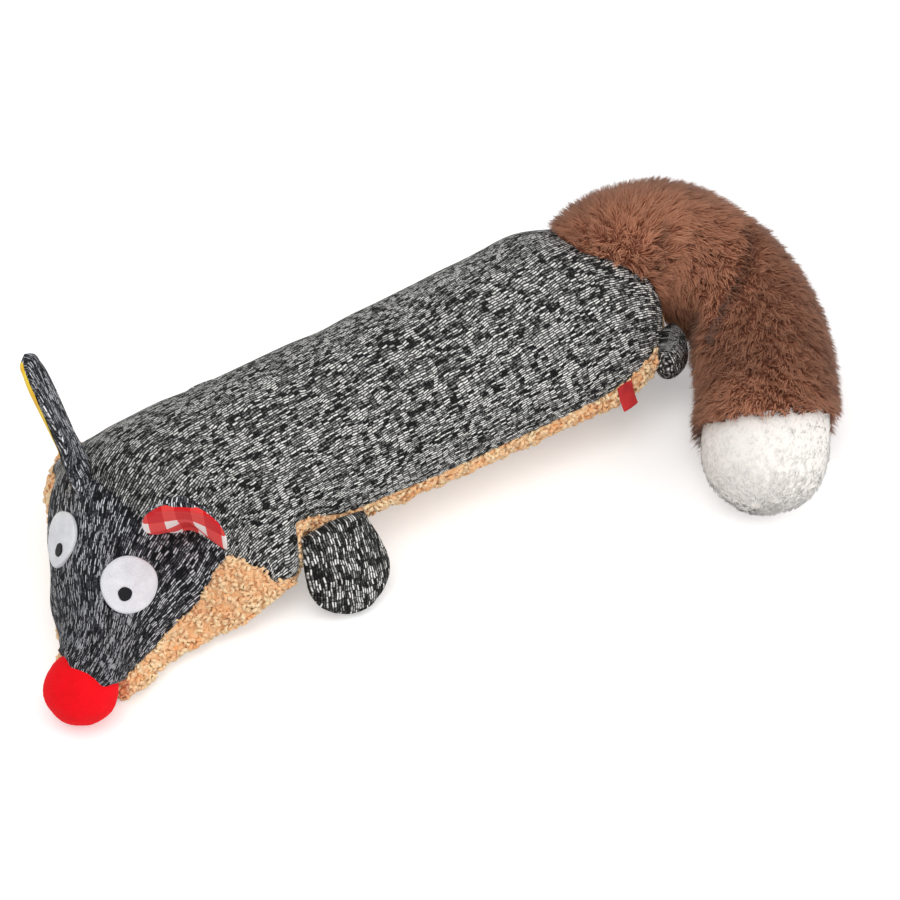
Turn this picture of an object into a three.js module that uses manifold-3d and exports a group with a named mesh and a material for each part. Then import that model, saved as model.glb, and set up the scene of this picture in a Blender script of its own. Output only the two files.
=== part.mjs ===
// Squeaky stuffed fox for dogs, lying on its belly with its head and tail turned to its left.
// Knit back, head and legs, teddy fleece belly and cheeks, a fur tail, and a squeaker in the filling.
// Millimetres, +Z up. The head points to -X, the tail to +X and the fox's left side is -Y.
// The origin is the middle of the flat strip of belly that the toy rests on.

import * as THREE from 'three';
import { mergeVertices } from 'three/addons/utils/BufferGeometryUtils.js';
import Module from 'manifold-3d';

const wasm = await Module();
wasm.setup();

// Cloth thicknesses, and the room between pieces
const KNIT = 2.2;
const FLEECE = 4.5;
const FUR = 5;
const GAP = 0.3;
const PIVOT_GAP = 0.5;

// Body: a round-ended tube, a little bigger at the rump
const BODY_LENGTH = 219;
const RUMP_X = 92;
const NECK_X = RUMP_X - BODY_LENGTH;
const NECK_RADIUS = 48;
const RUMP_RADIUS = 54;
const NECK_HEIGHT = 73;
const RUMP_HEIGHT = 80;
const SEAM_SHARE = 0.46;
const BACK_POWER = 2.2;
const BELLY_POWER = 2.8;
const REST_DEPTH = 0.5;
const COLLAR_SETBACK = 14;

// Head: turned about the upright line through the middle of the neck ball
const HEAD_TURN = 35;
const HEAD_SWING = 37;
const WIDEST_HEIGHT = 14;
const HEAD_SECTIONS = [
  { s: -26, half: 52, top: 50, low: -0.5, side: 0, power: 1.5 },
  { s: -12, half: 63, top: 58, low: -0.5, side: 0, power: 1.45 },
  { s: 2, half: 58, top: 65, low: -0.5, side: 0, power: 1.5 },
  { s: 20, half: 47, top: 66, low: -0.5, side: 0, power: 1.6 },
  { s: 40, half: 34, top: 60, low: -0.5, side: 0, power: 1.85 },
  { s: 56, half: 25, top: 49.5, low: -0.5, side: 3, power: 1.95 },
  { s: 70, half: 18, top: 39, low: 1.5, side: 7, power: 2 },
  { s: 80, half: 12.5, top: 31.5, low: 5, side: 10, power: 2 },
  { s: 87, half: 5, top: 24.5, low: 10, side: 12, power: 2 },
];
const MASK_NOTCH = { s: 24, z: 47 };
const MASK_FRONT_SLOPE = 0.45;
const MASK_BACK_SLOPE = 0.5;
const NECK_OPENING = 24;

// Face
const EYE_RADIUS = 13.3;
const EYE_FELT = 2;
const PUPIL_RADIUS = 3.6;
const PUPIL_DEPTH = 1.2;
const PUPIL_SHIFT = 3.5;
const EYE_LEFT = { s: 51.7, l: 16, z: 45.8, facing: [0.62, 0.38, 0.69] };
const EYE_RIGHT = { s: 39.3, l: -23.3, z: 46.5, facing: [0.6, -0.42, 0.68] };
const NOSE_RADIUS = 17;
const NOSE = { s: 93.5, l: 10.6, z: 17 };

// Ears: two layers, sewn to the crown at a rounded root
const EAR_SECTIONS = [
  { u: -3, half: 8, thick: 0.5 },
  { u: -2.4, half: 8.4, thick: 1.8 },
  { u: -1.3, half: 8.7, thick: 2.7 },
  { u: 0, half: 9, thick: 3 },
  { u: 15, half: 15, thick: 3.4 },
  { u: 30, half: 16, thick: 3.4 },
  { u: 41, half: 11.5, thick: 3 },
  { u: 47, half: 5.5, thick: 2 },
  { u: 49, half: 1.5, thick: 0.8 },
];
const EAR_ROOT = 3;
const EAR_LEFT = { s: 25, l: 31.5, lift: 1.5, along: [0.406, 0.164, 0.899], lining: [0.832, 0.337, -0.439] };
const EAR_RIGHT = { s: 13, l: -24.5, lift: 2.6, along: [-0.258, -0.524, 0.811], lining: [0.459, -0.806, -0.373] };

// Legs: flat stuffed paddles hung from the side seam
const LEG_SECTIONS = [
  { u: -6, half: 15, thick: 0.9 },
  { u: -5.2, half: 15.6, thick: 3 },
  { u: -4.2, half: 16.2, thick: 4.3 },
  { u: -2.2, half: 16.7, thick: 5.6 },
  { u: 0, half: 17, thick: 6 },
  { u: 12, half: 20, thick: 7 },
  { u: 23, half: 20.5, thick: 7 },
  { u: 31, half: 16.5, thick: 6 },
  { u: 36, half: 9.5, thick: 4 },
  { u: 38.5, half: 3, thick: 1.5 },
];
const LEG_ROOT = 6;
const FRONT_LEG_PRESS = 0.05;
const FRONT_LEG_HEIGHT = 34;
const FRONT_LEG_X = NECK_X + 65;
const FRONT_LEG_DROOP = 57;
const REAR_LEG_LEFT = { angle: -46, height: 50, droop: 82, press: 0.9 };
const REAR_LEG_RIGHT = { angle: 56, height: 37, droop: 66, press: 0.6 };
const LEG_CLOTH = 1.8;

// Tail: places along its middle, from the middle of the rump, with the radius of the pressed fur
const TAIL_LINE = [
  [20, 1, 48, 29],
  [42, 7, 48.5, 29.5],
  [62, 10, 48, 30],
  [78, 9, 47, 29.5],
  [88, -3, 45.5, 29],
  [91, -23, 43.5, 28.7],
  [87, -46, 40, 28.5],
  [77, -70, 36, 28.5],
  [65, -90, 32.5, 28.7],
  [55, -104, 28, 26.6],
  [46, -116.5, 27, 25.2],
  [38, -126.5, 26, 20.8],
  [32, -134, 25, 14],
  [29, -138, 24.5, 6],
];
const TIP_STATION = TAIL_LINE.length - 5;
const TIP_BALL = 26.8;
const TIP_PIVOT_GAP = 1;
const SLEEVE_SETBACK = 8;
const TIP_OPENING_SETBACK = 18;

// Label tab in the left side seam
const LABEL_ANGLE = -78.2;
const LABEL_WIDTH = 10.5;
const LABEL_LENGTH = 15;
const LABEL_THICKNESS = 1;
const LABEL_DROOP = 76;

// Squeaker: a flexible-walled drum with a reed, in a pocket of the filling
const SQUEAKER_X = -20;
const SQUEAKER_Z = 26;
const SQUEAKER_RADIUS = 23;
const SQUEAKER_WALL = 1.4;
const SQUEAKER_BASE = 8;
const SQUEAKER_PLEAT = 8.5;
const SQUEAKER_CAP = 7.5;
const PLEAT_DEPTH = 3;
const REED_RADIUS = 4;
const REED_LENGTH = 7;
const REED_BORE = 1.4;
const POCKET_ROOM = 0.4;

// Mesh fineness
const END_STEPS = 12;
const SIDE_STEPS = 4;
const BODY_LEVELS = [-90, -68, -48, -28, -10, 8, 24, 40, 56, 72, 90];
const HEAD_SIDES = 18;
const TAIL_SIDES = 12;
const LIMB_SIDES = 8;
const ROUND_STEPS = 20;
const BALL_STEPS = 16;

const { degToRad } = THREE.MathUtils;
const signedPower = (value, power) => Math.sign(value) * Math.abs(value) ** power;
const tidy = (value) => (Math.abs(value) < 1e-9 ? 0 : value);

// Solids

function solidOf(geometry) {
  const bare = new THREE.BufferGeometry();
  bare.setAttribute('position', geometry.getAttribute('position'));
  bare.setIndex(geometry.getIndex());
  const merged = mergeVertices(bare, 1e-4);
  const index = merged.getIndex().array;
  const faces = [];
  for (let i = 0; i < index.length; i += 3) {
    const [a, b, c] = [index[i], index[i + 1], index[i + 2]];
    if (a !== b && b !== c && c !== a) faces.push(a, b, c);
  }
  const vertProperties = new Float32Array(merged.getAttribute('position').array);
  const make = (list) =>
    new wasm.Manifold(new wasm.Mesh({ numProp: 3, vertProperties, triVerts: new Uint32Array(list) }));
  const solid = make(faces);
  if (solid.volume() > 0) return solid;
  const flipped = [];
  for (let i = 0; i < faces.length; i += 3) flipped.push(faces[i], faces[i + 2], faces[i + 1]);
  return make(flipped);
}

function geometryOf(solid) {
  const mesh = solid.getMesh();
  const positions = new Float32Array((mesh.vertProperties.length / mesh.numProp) * 3);
  for (let i = 0; i < positions.length / 3; i += 1) {
    for (let k = 0; k < 3; k += 1) positions[i * 3 + k] = mesh.vertProperties[i * mesh.numProp + k];
  }
  const geometry = new THREE.BufferGeometry();
  geometry.setAttribute('position', new THREE.BufferAttribute(positions, 3));
  geometry.setIndex(new THREE.BufferAttribute(new Uint32Array(mesh.triVerts), 1));
  return geometry;
}

function movedSolid(solid, matrix) {
  return solidOf(geometryOf(solid).applyMatrix4(matrix));
}

// Rings of points joined in order into a closed skin; open ends are closed at the ring's middle
function loft(rings, openEnds = true) {
  const count = rings[0].length;
  const middle = (ring) =>
    ring.reduce((sum, p) => sum.add(p), new THREE.Vector3()).multiplyScalar(1 / count);
  const points = [...rings.flat(), middle(rings[0]), middle(rings[rings.length - 1])];
  const index = [];
  const at = (ring, i) => ring * count + (i % count);
  const last = rings.length - 1;
  for (let i = 0; i < count; i += 1) {
    for (let ring = 0; ring < last; ring += 1) {
      index.push(at(ring, i), at(ring, i + 1), at(ring + 1, i + 1));
      index.push(at(ring, i), at(ring + 1, i + 1), at(ring + 1, i));
    }
    if (openEnds) {
      index.push(at(0, i + 1), at(0, i), points.length - 2);
      index.push(at(last, i), at(last, i + 1), points.length - 1);
    }
  }
  const geometry = new THREE.BufferGeometry();
  geometry.setFromPoints(points);
  geometry.setIndex(index);
  return solidOf(geometry);
}

// What is left of a solid on the side of a plane that its normal points to
function keep(solid, normal, point) {
  const n = new THREE.Vector3(...normal).normalize();
  return solid.trimByPlane([n.x, n.y, n.z], n.dot(new THREE.Vector3(...point)));
}

const opposite = (v) => v.map((value) => -value);
const shifted = (point, normal, distance) => {
  const n = new THREE.Vector3(...normal).normalize().multiplyScalar(distance);
  return [point[0] + n.x, point[1] + n.y, point[2] + n.z];
};

function lathed(profile, steps = ROUND_STEPS) {
  const outline = profile.map(([r, z]) => new THREE.Vector2(r, z));
  const geometry = new THREE.LatheGeometry([...outline, outline[0]], steps);
  return solidOf(geometry.rotateX(Math.PI / 2));
}

function ball(radius) {
  return solidOf(new THREE.SphereGeometry(radius, BALL_STEPS, BALL_STEPS / 2).rotateX(Math.PI / 2));
}

function rod(radius, length) {
  return solidOf(new THREE.CylinderGeometry(radius, radius, length, ROUND_STEPS));
}

// Body

const alongBody = (x) => THREE.MathUtils.clamp((x - NECK_X) / (RUMP_X - NECK_X), 0, 1);
const bodyRadius = (x) => THREE.MathUtils.lerp(NECK_RADIUS, RUMP_RADIUS, alongBody(x));
const bodyHeight = (x) => THREE.MathUtils.lerp(NECK_HEIGHT, RUMP_HEIGHT, alongBody(x));
const bodySeam = (x) => SEAM_SHARE * bodyHeight(x);

// The outline from above: points on the middle line, each with the way out from it in degrees
function planStations(fromX, toX) {
  const stations = [];
  for (let i = 0; i <= END_STEPS; i += 1) stations.push([fromX, 90 + (180 * i) / END_STEPS]);
  for (let i = 1; i < SIDE_STEPS; i += 1) {
    stations.push([THREE.MathUtils.lerp(fromX, toX, i / SIDE_STEPS), 270]);
  }
  for (let i = 0; i <= END_STEPS; i += 1) stations.push([toX, 270 + (180 * i) / END_STEPS]);
  for (let i = 1; i < SIDE_STEPS; i += 1) {
    stations.push([THREE.MathUtils.lerp(toX, fromX, i / SIDE_STEPS), 450]);
  }
  return stations;
}

// A round-ended tube on the middle line, or a ball where both ends are the same place
function roundEnded(fromX, toX, inset) {
  const stations = planStations(fromX, toX);
  const rings = BODY_LEVELS.map((level) => {
    const angle = degToRad(level);
    const power = 2 / (level > 0 ? BACK_POWER : BELLY_POWER);
    const out = signedPower(tidy(Math.cos(angle)), power);
    const up = signedPower(Math.sin(angle), power);
    return stations.map(([x, heading]) => {
      const seam = bodySeam(x);
      const tall = level > 0 ? bodyHeight(x) - seam : seam + REST_DEPTH;
      const reach = (bodyRadius(x) - inset) * out;
      const turn = degToRad(heading);
      const z = seam + (tall - inset) * up;
      return new THREE.Vector3(x + reach * Math.cos(turn), reach * Math.sin(turn), z);
    });
  });
  return loft(rings, false);
}

const neckBall = (inset) => roundEnded(NECK_X, NECK_X, inset);
const rumpBall = (inset) => roundEnded(RUMP_X, RUMP_X, inset);
const aboveFloor = (solid) => keep(solid, [0, 0, 1], [0, 0, 0]);

// The body ends in a hollow collar that the ball of the neck turns in
const bodyHollow = neckBall(-PIVOT_GAP);
function bodySolid(inset) {
  const tube = roundEnded(NECK_X, RUMP_X, inset);
  return keep(tube, [1, 0, 0], [NECK_X + COLLAR_SETBACK, 0, 0]).subtract(bodyHollow);
}

const seamSlope = (bodySeam(RUMP_X) - bodySeam(NECK_X)) / (RUMP_X - NECK_X);
const seamUp = [-seamSlope, 0, 1];
const seamPoint = [NECK_X, 0, bodySeam(NECK_X)];
const aboveSeam = (solid, raise) => keep(solid, seamUp, shifted(seamPoint, seamUp, raise));
const belowSeam = (solid, drop) => keep(solid, opposite(seamUp), shifted(seamPoint, seamUp, -drop));

const bodyOuter = bodySolid(0);
const backCover = aboveSeam(bodyOuter.subtract(roundEnded(NECK_X, RUMP_X, KNIT)), GAP / 2);
const bellyPanel = aboveFloor(belowSeam(bodyOuter.subtract(roundEnded(NECK_X, RUMP_X, FLEECE)), GAP / 2));
const bodyFilling = bodySolid(FLEECE + GAP).add(aboveSeam(bodySolid(KNIT + GAP), 1.5 * GAP));

// Squeaker

const pleatFrom = SQUEAKER_BASE + GAP;
const capFrom = pleatFrom + SQUEAKER_PLEAT + GAP;
const squeakerHeight = capFrom + SQUEAKER_CAP;
const squeakerAt = new THREE.Matrix4().makeTranslation(SQUEAKER_X, 0, SQUEAKER_Z);
const rim = SQUEAKER_RADIUS - SQUEAKER_WALL;
const reedHole = REED_RADIUS + GAP;

const squeakerBase = lathed([
  [reedHole, 0],
  [rim - 2, 0],
  [SQUEAKER_RADIUS, 3],
  [SQUEAKER_RADIUS, SQUEAKER_BASE],
  [rim, SQUEAKER_BASE],
  [rim, 3.6],
  [rim - 2.6, SQUEAKER_WALL],
  [reedHole, SQUEAKER_WALL],
]);
const squeakerPleat = lathed([
  [rim, pleatFrom],
  [SQUEAKER_RADIUS, pleatFrom],
  [SQUEAKER_RADIUS - PLEAT_DEPTH, pleatFrom + SQUEAKER_PLEAT / 2],
  [SQUEAKER_RADIUS, pleatFrom + SQUEAKER_PLEAT],
  [rim, pleatFrom + SQUEAKER_PLEAT],
  [rim - PLEAT_DEPTH, pleatFrom + SQUEAKER_PLEAT / 2],
]);
const squeakerCap = lathed([
  [0, squeakerHeight],
  [rim - 6, squeakerHeight],
  [SQUEAKER_RADIUS, squeakerHeight - 4],
  [SQUEAKER_RADIUS, capFrom],
  [rim, capFrom],
  [rim, squeakerHeight - 4.6],
  [rim - 6.4, squeakerHeight - SQUEAKER_WALL],
  [0, squeakerHeight - SQUEAKER_WALL],
]);
const squeakerReed = lathed([
  [REED_BORE, 0],
  [REED_RADIUS, 0],
  [REED_RADIUS, REED_LENGTH - 1],
  [REED_RADIUS - 1, REED_LENGTH],
  [REED_BORE, REED_LENGTH],
]);
const pocketRadius = SQUEAKER_RADIUS + POCKET_ROOM;
const pocket = movedSolid(
  lathed([
    [0, -POCKET_ROOM],
    [pocketRadius, -POCKET_ROOM],
    [pocketRadius, squeakerHeight + POCKET_ROOM],
    [0, squeakerHeight + POCKET_ROOM],
  ]),
  squeakerAt,
);
const pocketed = bodyFilling.subtract(pocket);
const frontFilling = keep(pocketed, [-1, 0, 0], [SQUEAKER_X - GAP / 2, 0, 0]);
const rearFilling = keep(pocketed, [1, 0, 0], [SQUEAKER_X + GAP / 2, 0, 0]);

// Head, in its own frame: the line it turns about is at the origin and the snout points to -X

const toHead = new THREE.Matrix4().makeTranslation(-NECK_X, 0, 0);
const headPoint = ({ s, l, z }) => new THREE.Vector3(-s, -l, z);
const headWay = ([s, l, z]) => new THREE.Vector3(-s, -l, z).normalize();
const pressed = (size, inset) => Math.max(size - inset, 0.4 * size);

function headForm(inset) {
  const rings = HEAD_SECTIONS.map((section, i) => {
    const fromBack = i === 0 ? inset : 0;
    const fromTip = i >= HEAD_SECTIONS.length - 2 ? inset : 0;
    const half = pressed(section.half, inset);
    const tall = pressed(section.top - WIDEST_HEIGHT, inset);
    const deep = pressed(WIDEST_HEIGHT - section.low, inset);
    return Array.from({ length: HEAD_SIDES }, (_, k) => {
      const angle = (2 * Math.PI * k) / HEAD_SIDES;
      const up = tidy(Math.sin(angle));
      const power = 2 / (up > 0 ? section.power : BELLY_POWER);
      const out = half * signedPower(tidy(Math.cos(angle)), up === 0 ? 1 : power);
      const z = WIDEST_HEIGHT + (up > 0 ? tall : deep) * signedPower(up, power);
      return new THREE.Vector3(fromTip - fromBack - section.s, -section.side - out, z);
    });
  });
  return loft(rings);
}

const headBall = (inset) => movedSolid(neckBall(inset), toHead);

// The cheeks clear the collar over the head's whole swing
function headSolid(inset) {
  const tube = movedSolid(roundEnded(NECK_X, NECK_X + 2 * NECK_RADIUS, -inset - PIVOT_GAP), toHead);
  const collar = keep(tube, [1, 0, 0], [COLLAR_SETBACK - PIVOT_GAP - inset, 0, 0]);
  const form = [-1, -0.5, 0, 0.5, 1].reduce((left, share) => {
    const turn = new THREE.Matrix4().makeRotationZ(degToRad(share * HEAD_SWING));
    return left.subtract(movedSolid(collar, turn));
  }, headForm(inset));
  return form.add(headBall(inset));
}

const notchPoint = [-MASK_NOTCH.s, 0, MASK_NOTCH.z];
const frontUp = [-MASK_FRONT_SLOPE, 0, 1];
const backUp = [MASK_BACK_SLOPE, 0, 1];
const inMask = (solid, raise) =>
  keep(solid, frontUp, shifted(notchPoint, frontUp, raise)).add(
    keep(solid, backUp, shifted(notchPoint, backUp, raise)),
  );
const underMask = (solid, drop) =>
  keep(
    keep(solid, opposite(frontUp), shifted(notchPoint, frontUp, -drop)),
    opposite(backUp),
    shifted(notchPoint, backUp, -drop),
  );

const headOuter = aboveFloor(headSolid(0));
const neckOpening = movedSolid(
  rod(NECK_OPENING, 2 * NECK_RADIUS),
  new THREE.Matrix4()
    .makeTranslation(NECK_RADIUS, 0, bodySeam(NECK_X))
    .multiply(new THREE.Matrix4().makeRotationZ(Math.PI / 2)),
);
const maskCover = inMask(headOuter.subtract(headSolid(KNIT)), GAP / 2).subtract(neckOpening);
const chinPanel = underMask(headOuter.subtract(headSolid(FLEECE)), GAP / 2);
const headFilling = headSolid(FLEECE + GAP).add(inMask(headSolid(KNIT + GAP), 1.5 * GAP));

// Eyes and nose lie on the face

const faceOut = (distance) => headForm(-distance).add(headBall(-distance));
const face = faceOut(GAP);
const feltTop = faceOut(GAP + EYE_FELT);
const pupilFoot = faceOut(2 * GAP + EYE_FELT);
const pupilTop = faceOut(2 * GAP + EYE_FELT + PUPIL_DEPTH);

function patch(radius, place, facing, foot, top) {
  const turn = new THREE.Quaternion().setFromUnitVectors(new THREE.Vector3(0, 1, 0), headWay(facing));
  const matrix = new THREE.Matrix4().compose(headPoint(place), turn, new THREE.Vector3(1, 1, 1));
  return movedSolid(rod(radius, 2 * EYE_RADIUS), matrix).intersect(top).subtract(foot);
}

const felt = (eye) => patch(EYE_RADIUS, eye, eye.facing, face, feltTop);
const pupil = (eye) =>
  patch(PUPIL_RADIUS, { ...eye, s: eye.s + PUPIL_SHIFT }, eye.facing, pupilFoot, pupilTop);
const noseBall = movedSolid(ball(NOSE_RADIUS), new THREE.Matrix4().setPosition(headPoint(NOSE))).subtract(face);

// Paddles for the ears and legs: root at the origin, out along +X, flat in the XY plane

function paddle(sections, inset) {
  const rootShare = 1 + inset / sections[0].u;
  const rings = sections.map(({ u, half, thick }, i) => {
    const fromTip = i >= sections.length - 2 ? inset : 0;
    const x = (u < 0 ? u * rootShare : u) - fromTip;
    return Array.from({ length: LIMB_SIDES }, (_, k) => {
      const angle = (2 * Math.PI * k) / LIMB_SIDES;
      const y = pressed(half, inset) * tidy(Math.cos(angle));
      const z = pressed(thick, inset) * tidy(Math.sin(angle));
      return new THREE.Vector3(x, y, z);
    });
  });
  return loft(rings);
}

const upperHalf = (solid) => keep(solid, [0, 0, 1], [0, 0, GAP / 2]);
const lowerHalf = (solid) => keep(solid, [0, 0, -1], [0, 0, -GAP / 2]);

const earSolid = paddle(EAR_SECTIONS, 0);
const legCloth = paddle(LEG_SECTIONS, 0).subtract(paddle(LEG_SECTIONS, LEG_CLOTH));
const legFilling = paddle(LEG_SECTIONS, LEG_CLOTH + GAP);

// Where an ear's root lies on the ball of the neck, and which way it stands
function earMatrix({ s, l, lift, along, lining }) {
  const seam = bodySeam(NECK_X);
  const tall = NECK_HEIGHT - seam;
  const reach = Math.hypot(s, l);
  const share = (1 - (reach / NECK_RADIUS) ** BACK_POWER) ** (1 / BACK_POWER);
  const out = (reach / NECK_RADIUS) ** (BACK_POWER - 1) / NECK_RADIUS;
  const up = share ** (BACK_POWER - 1) / tall;
  const normal = headWay([(s / reach) * out, (l / reach) * out, up]);
  const root = headPoint({ s, l, z: seam + tall * share });
  root.addScaledVector(normal, EAR_ROOT + PIVOT_GAP + lift);
  const x = headWay(along);
  const y = new THREE.Vector3().crossVectors(x, headWay(lining)).normalize();
  const z = new THREE.Vector3().crossVectors(x, y);
  return new THREE.Matrix4().makeBasis(x, y, z).setPosition(root);
}

// Tail

const tailPoint = (i) => new THREE.Vector3(...TAIL_LINE[i]).add(new THREE.Vector3(RUMP_X, 0, 0));
function tailTangent(i) {
  const last = TAIL_LINE.length - 1;
  return tailPoint(Math.min(i + 1, last)).sub(tailPoint(Math.max(i - 1, 0))).normalize();
}

function tailSolid(inset) {
  const rings = TAIL_LINE.map(([, , , radius], i) => {
    const tangent = tailTangent(i);
    const side = new THREE.Vector3().crossVectors(tangent, new THREE.Vector3(0, 0, 1)).normalize();
    const up = new THREE.Vector3().crossVectors(side, tangent);
    const fromTip = i >= TAIL_LINE.length - 2 ? inset : 0;
    const centre = tailPoint(i).addScaledVector(tangent, -fromTip);
    return Array.from({ length: TAIL_SIDES }, (_, k) => {
      const angle = (2 * Math.PI * k) / TAIL_SIDES;
      const reach = pressed(radius, inset);
      const across = side.clone().multiplyScalar(reach * Math.cos(angle));
      return across.addScaledVector(up, reach * Math.sin(angle)).add(centre);
    });
  });
  return loft(rings);
}

const tipCentre = tailPoint(TIP_STATION);
const tipWay = tailTangent(TIP_STATION);
const tipBall = (inset) => movedSolid(ball(TIP_BALL - inset), new THREE.Matrix4().setPosition(tipCentre));
const alongTip = (distance) => tipCentre.clone().addScaledVector(tipWay, distance).toArray();
const beforeTip = (solid) => keep(solid, opposite(tipWay.toArray()), alongTip(-SLEEVE_SETBACK));
const tipSolid = (inset) => keep(tailSolid(inset), tipWay.toArray(), alongTip(0)).add(tipBall(inset));
const offTheBody = (solid) => solid.subtract(rumpBall(-PIVOT_GAP)).subtract(tipBall(-TIP_PIVOT_GAP));

const tailSleeve = offTheBody(beforeTip(tailSolid(0).subtract(tailSolid(FUR))));
const tailFilling = offTheBody(beforeTip(tailSolid(FUR + GAP)));
const tipCover = aboveFloor(
  keep(tipSolid(0).subtract(tipSolid(FUR)), tipWay.toArray(), alongTip(-TIP_OPENING_SETBACK)),
);
const tipFilling = tipSolid(FUR + GAP);

// Assembly

const cloth = (color, roughness = 0.95) => new THREE.MeshStandardMaterial({ color, roughness, metalness: 0 });
const knit = cloth('#6b6c6c');
const sherpa = cloth('#f0b67f');
const furBrown = cloth('#5c3526');
const furWhite = cloth('#f7f0e8');
const feltWhite = cloth('#e4e5ea');
const feltRed = cloth('#f0081e', 0.8);
const pupilBlack = cloth('#161616', 0.7);
const liningRed = cloth('#c9473f');
const liningYellow = cloth('#f9d433');
const labelRed = cloth('#c72d2d', 0.85);
const polyfill = cloth('#f4f2ee');
const softPlastic = cloth('#e9ecee', 0.45);

function piece(name, solid, material) {
  const geometry = geometryOf(solid);
  geometry.computeVertexNormals();
  const mesh = new THREE.Mesh(geometry, material);
  mesh.name = name;
  return mesh;
}

function assembly(name, ...children) {
  const group = new THREE.Group();
  group.name = name;
  group.add(...children);
  return group;
}

function place(group, matrix) {
  matrix.decompose(group.position, group.quaternion, group.scale);
  return group;
}

// A limb's frame: out along a heading from above, then turned down
function hung(position, heading, droop) {
  const turn = new THREE.Matrix4().makeRotationZ(degToRad(heading));
  return turn.multiply(new THREE.Matrix4().makeRotationY(degToRad(droop))).setPosition(position);
}

function leg(name, matrix) {
  const pieces = [
    piece(`${name}_top`, upperHalf(legCloth), knit),
    piece(`${name}_sole`, lowerHalf(legCloth), knit),
    piece(`${name}_filling`, legFilling, polyfill),
  ];
  return place(assembly(name, ...pieces), matrix);
}

function ear(name, spec, lining) {
  const pieces = [
    piece(`${name}_back`, upperHalf(earSolid), knit),
    piece(`${name}_lining`, lowerHalf(earSolid), lining),
  ];
  return place(assembly(name, ...pieces), earMatrix(spec));
}

const sideReach = bodyRadius(FRONT_LEG_X) + LEG_ROOT - FRONT_LEG_PRESS;
const frontLegAt = (side) =>
  hung(new THREE.Vector3(FRONT_LEG_X, side * sideReach, FRONT_LEG_HEIGHT), side * 90, FRONT_LEG_DROOP);
function roundRump(angle, reach, z) {
  const turn = degToRad(angle);
  return new THREE.Vector3(RUMP_X + reach * Math.cos(turn), reach * Math.sin(turn), z);
}
const rearLegAt = ({ angle, height, droop, press }) => {
  const reach = RUMP_RADIUS + LEG_ROOT - press;
  return hung(roundRump(angle, reach, height), angle, droop);
};

const labelReach = RUMP_RADIUS + PIVOT_GAP + LABEL_THICKNESS / 2;
const labelRoot = roundRump(LABEL_ANGLE, labelReach, bodySeam(RUMP_X));
const labelSolid = solidOf(
  new THREE.BoxGeometry(LABEL_LENGTH, LABEL_WIDTH, LABEL_THICKNESS).translate(
    (LABEL_LENGTH - LABEL_THICKNESS) / 2,
    0,
    0,
  ),
);

const squeaker = assembly(
  'squeaker',
  piece('squeaker_base', squeakerBase, softPlastic),
  piece('squeaker_pleat', squeakerPleat, softPlastic),
  piece('squeaker_cap', squeakerCap, softPlastic),
  piece('squeaker_reed', squeakerReed, softPlastic),
);
place(squeaker, squeakerAt);

const body = assembly(
  'body',
  piece('back_cover', backCover, knit),
  piece('belly_panel', bellyPanel, sherpa),
  piece('front_filling', frontFilling, polyfill),
  piece('rear_filling', rearFilling, polyfill),
  squeaker,
  place(
    assembly('label', piece('label_tab', labelSolid, labelRed)),
    hung(labelRoot, LABEL_ANGLE, LABEL_DROOP),
  ),
  leg('leg_front_left', frontLegAt(-1)),
  leg('leg_front_right', frontLegAt(1)),
  leg('leg_rear_left', rearLegAt(REAR_LEG_LEFT)),
  leg('leg_rear_right', rearLegAt(REAR_LEG_RIGHT)),
);

const head = assembly(
  'head',
  piece('head_mask', maskCover, knit),
  piece('head_cheeks', chinPanel, sherpa),
  piece('head_filling', headFilling, polyfill),
  piece('eye_left_felt', felt(EYE_LEFT), feltWhite),
  piece('eye_left_pupil', pupil(EYE_LEFT), pupilBlack),
  piece('eye_right_felt', felt(EYE_RIGHT), feltWhite),
  piece('eye_right_pupil', pupil(EYE_RIGHT), pupilBlack),
  piece('nose_ball', noseBall, feltRed),
  ear('ear_left', EAR_LEFT, liningRed),
  ear('ear_right', EAR_RIGHT, liningYellow),
);
head.position.set(NECK_X, 0, 0);
head.rotation.z = degToRad(HEAD_TURN);

const tail = assembly(
  'tail',
  piece('tail_sleeve', tailSleeve, furBrown),
  piece('tail_filling', tailFilling, polyfill),
  assembly(
    'tail_tip',
    piece('tail_tip_cover', tipCover, furWhite),
    piece('tail_tip_filling', tipFilling, polyfill),
  ),
);

export default assembly('squeaky_fox', body, head, tail);
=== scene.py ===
"""Squeaky stuffed fox for dogs: marled knit back, head and legs, curly fleece belly and cheeks, a fur
tail.

Run as a script in Blender. The solid model is loaded as a fixed frame and every soft piece is drawn over
it as a surface worked out with numpy. Lengths in the formulas are millimetres in the frame of the solid
model: head to -X, tail to +X, the fox's left side to -Y, up +Z. Meshes are in metres.
"""

import math

import bmesh
import bpy
import numpy as np
from mathutils import Matrix, Vector


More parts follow.
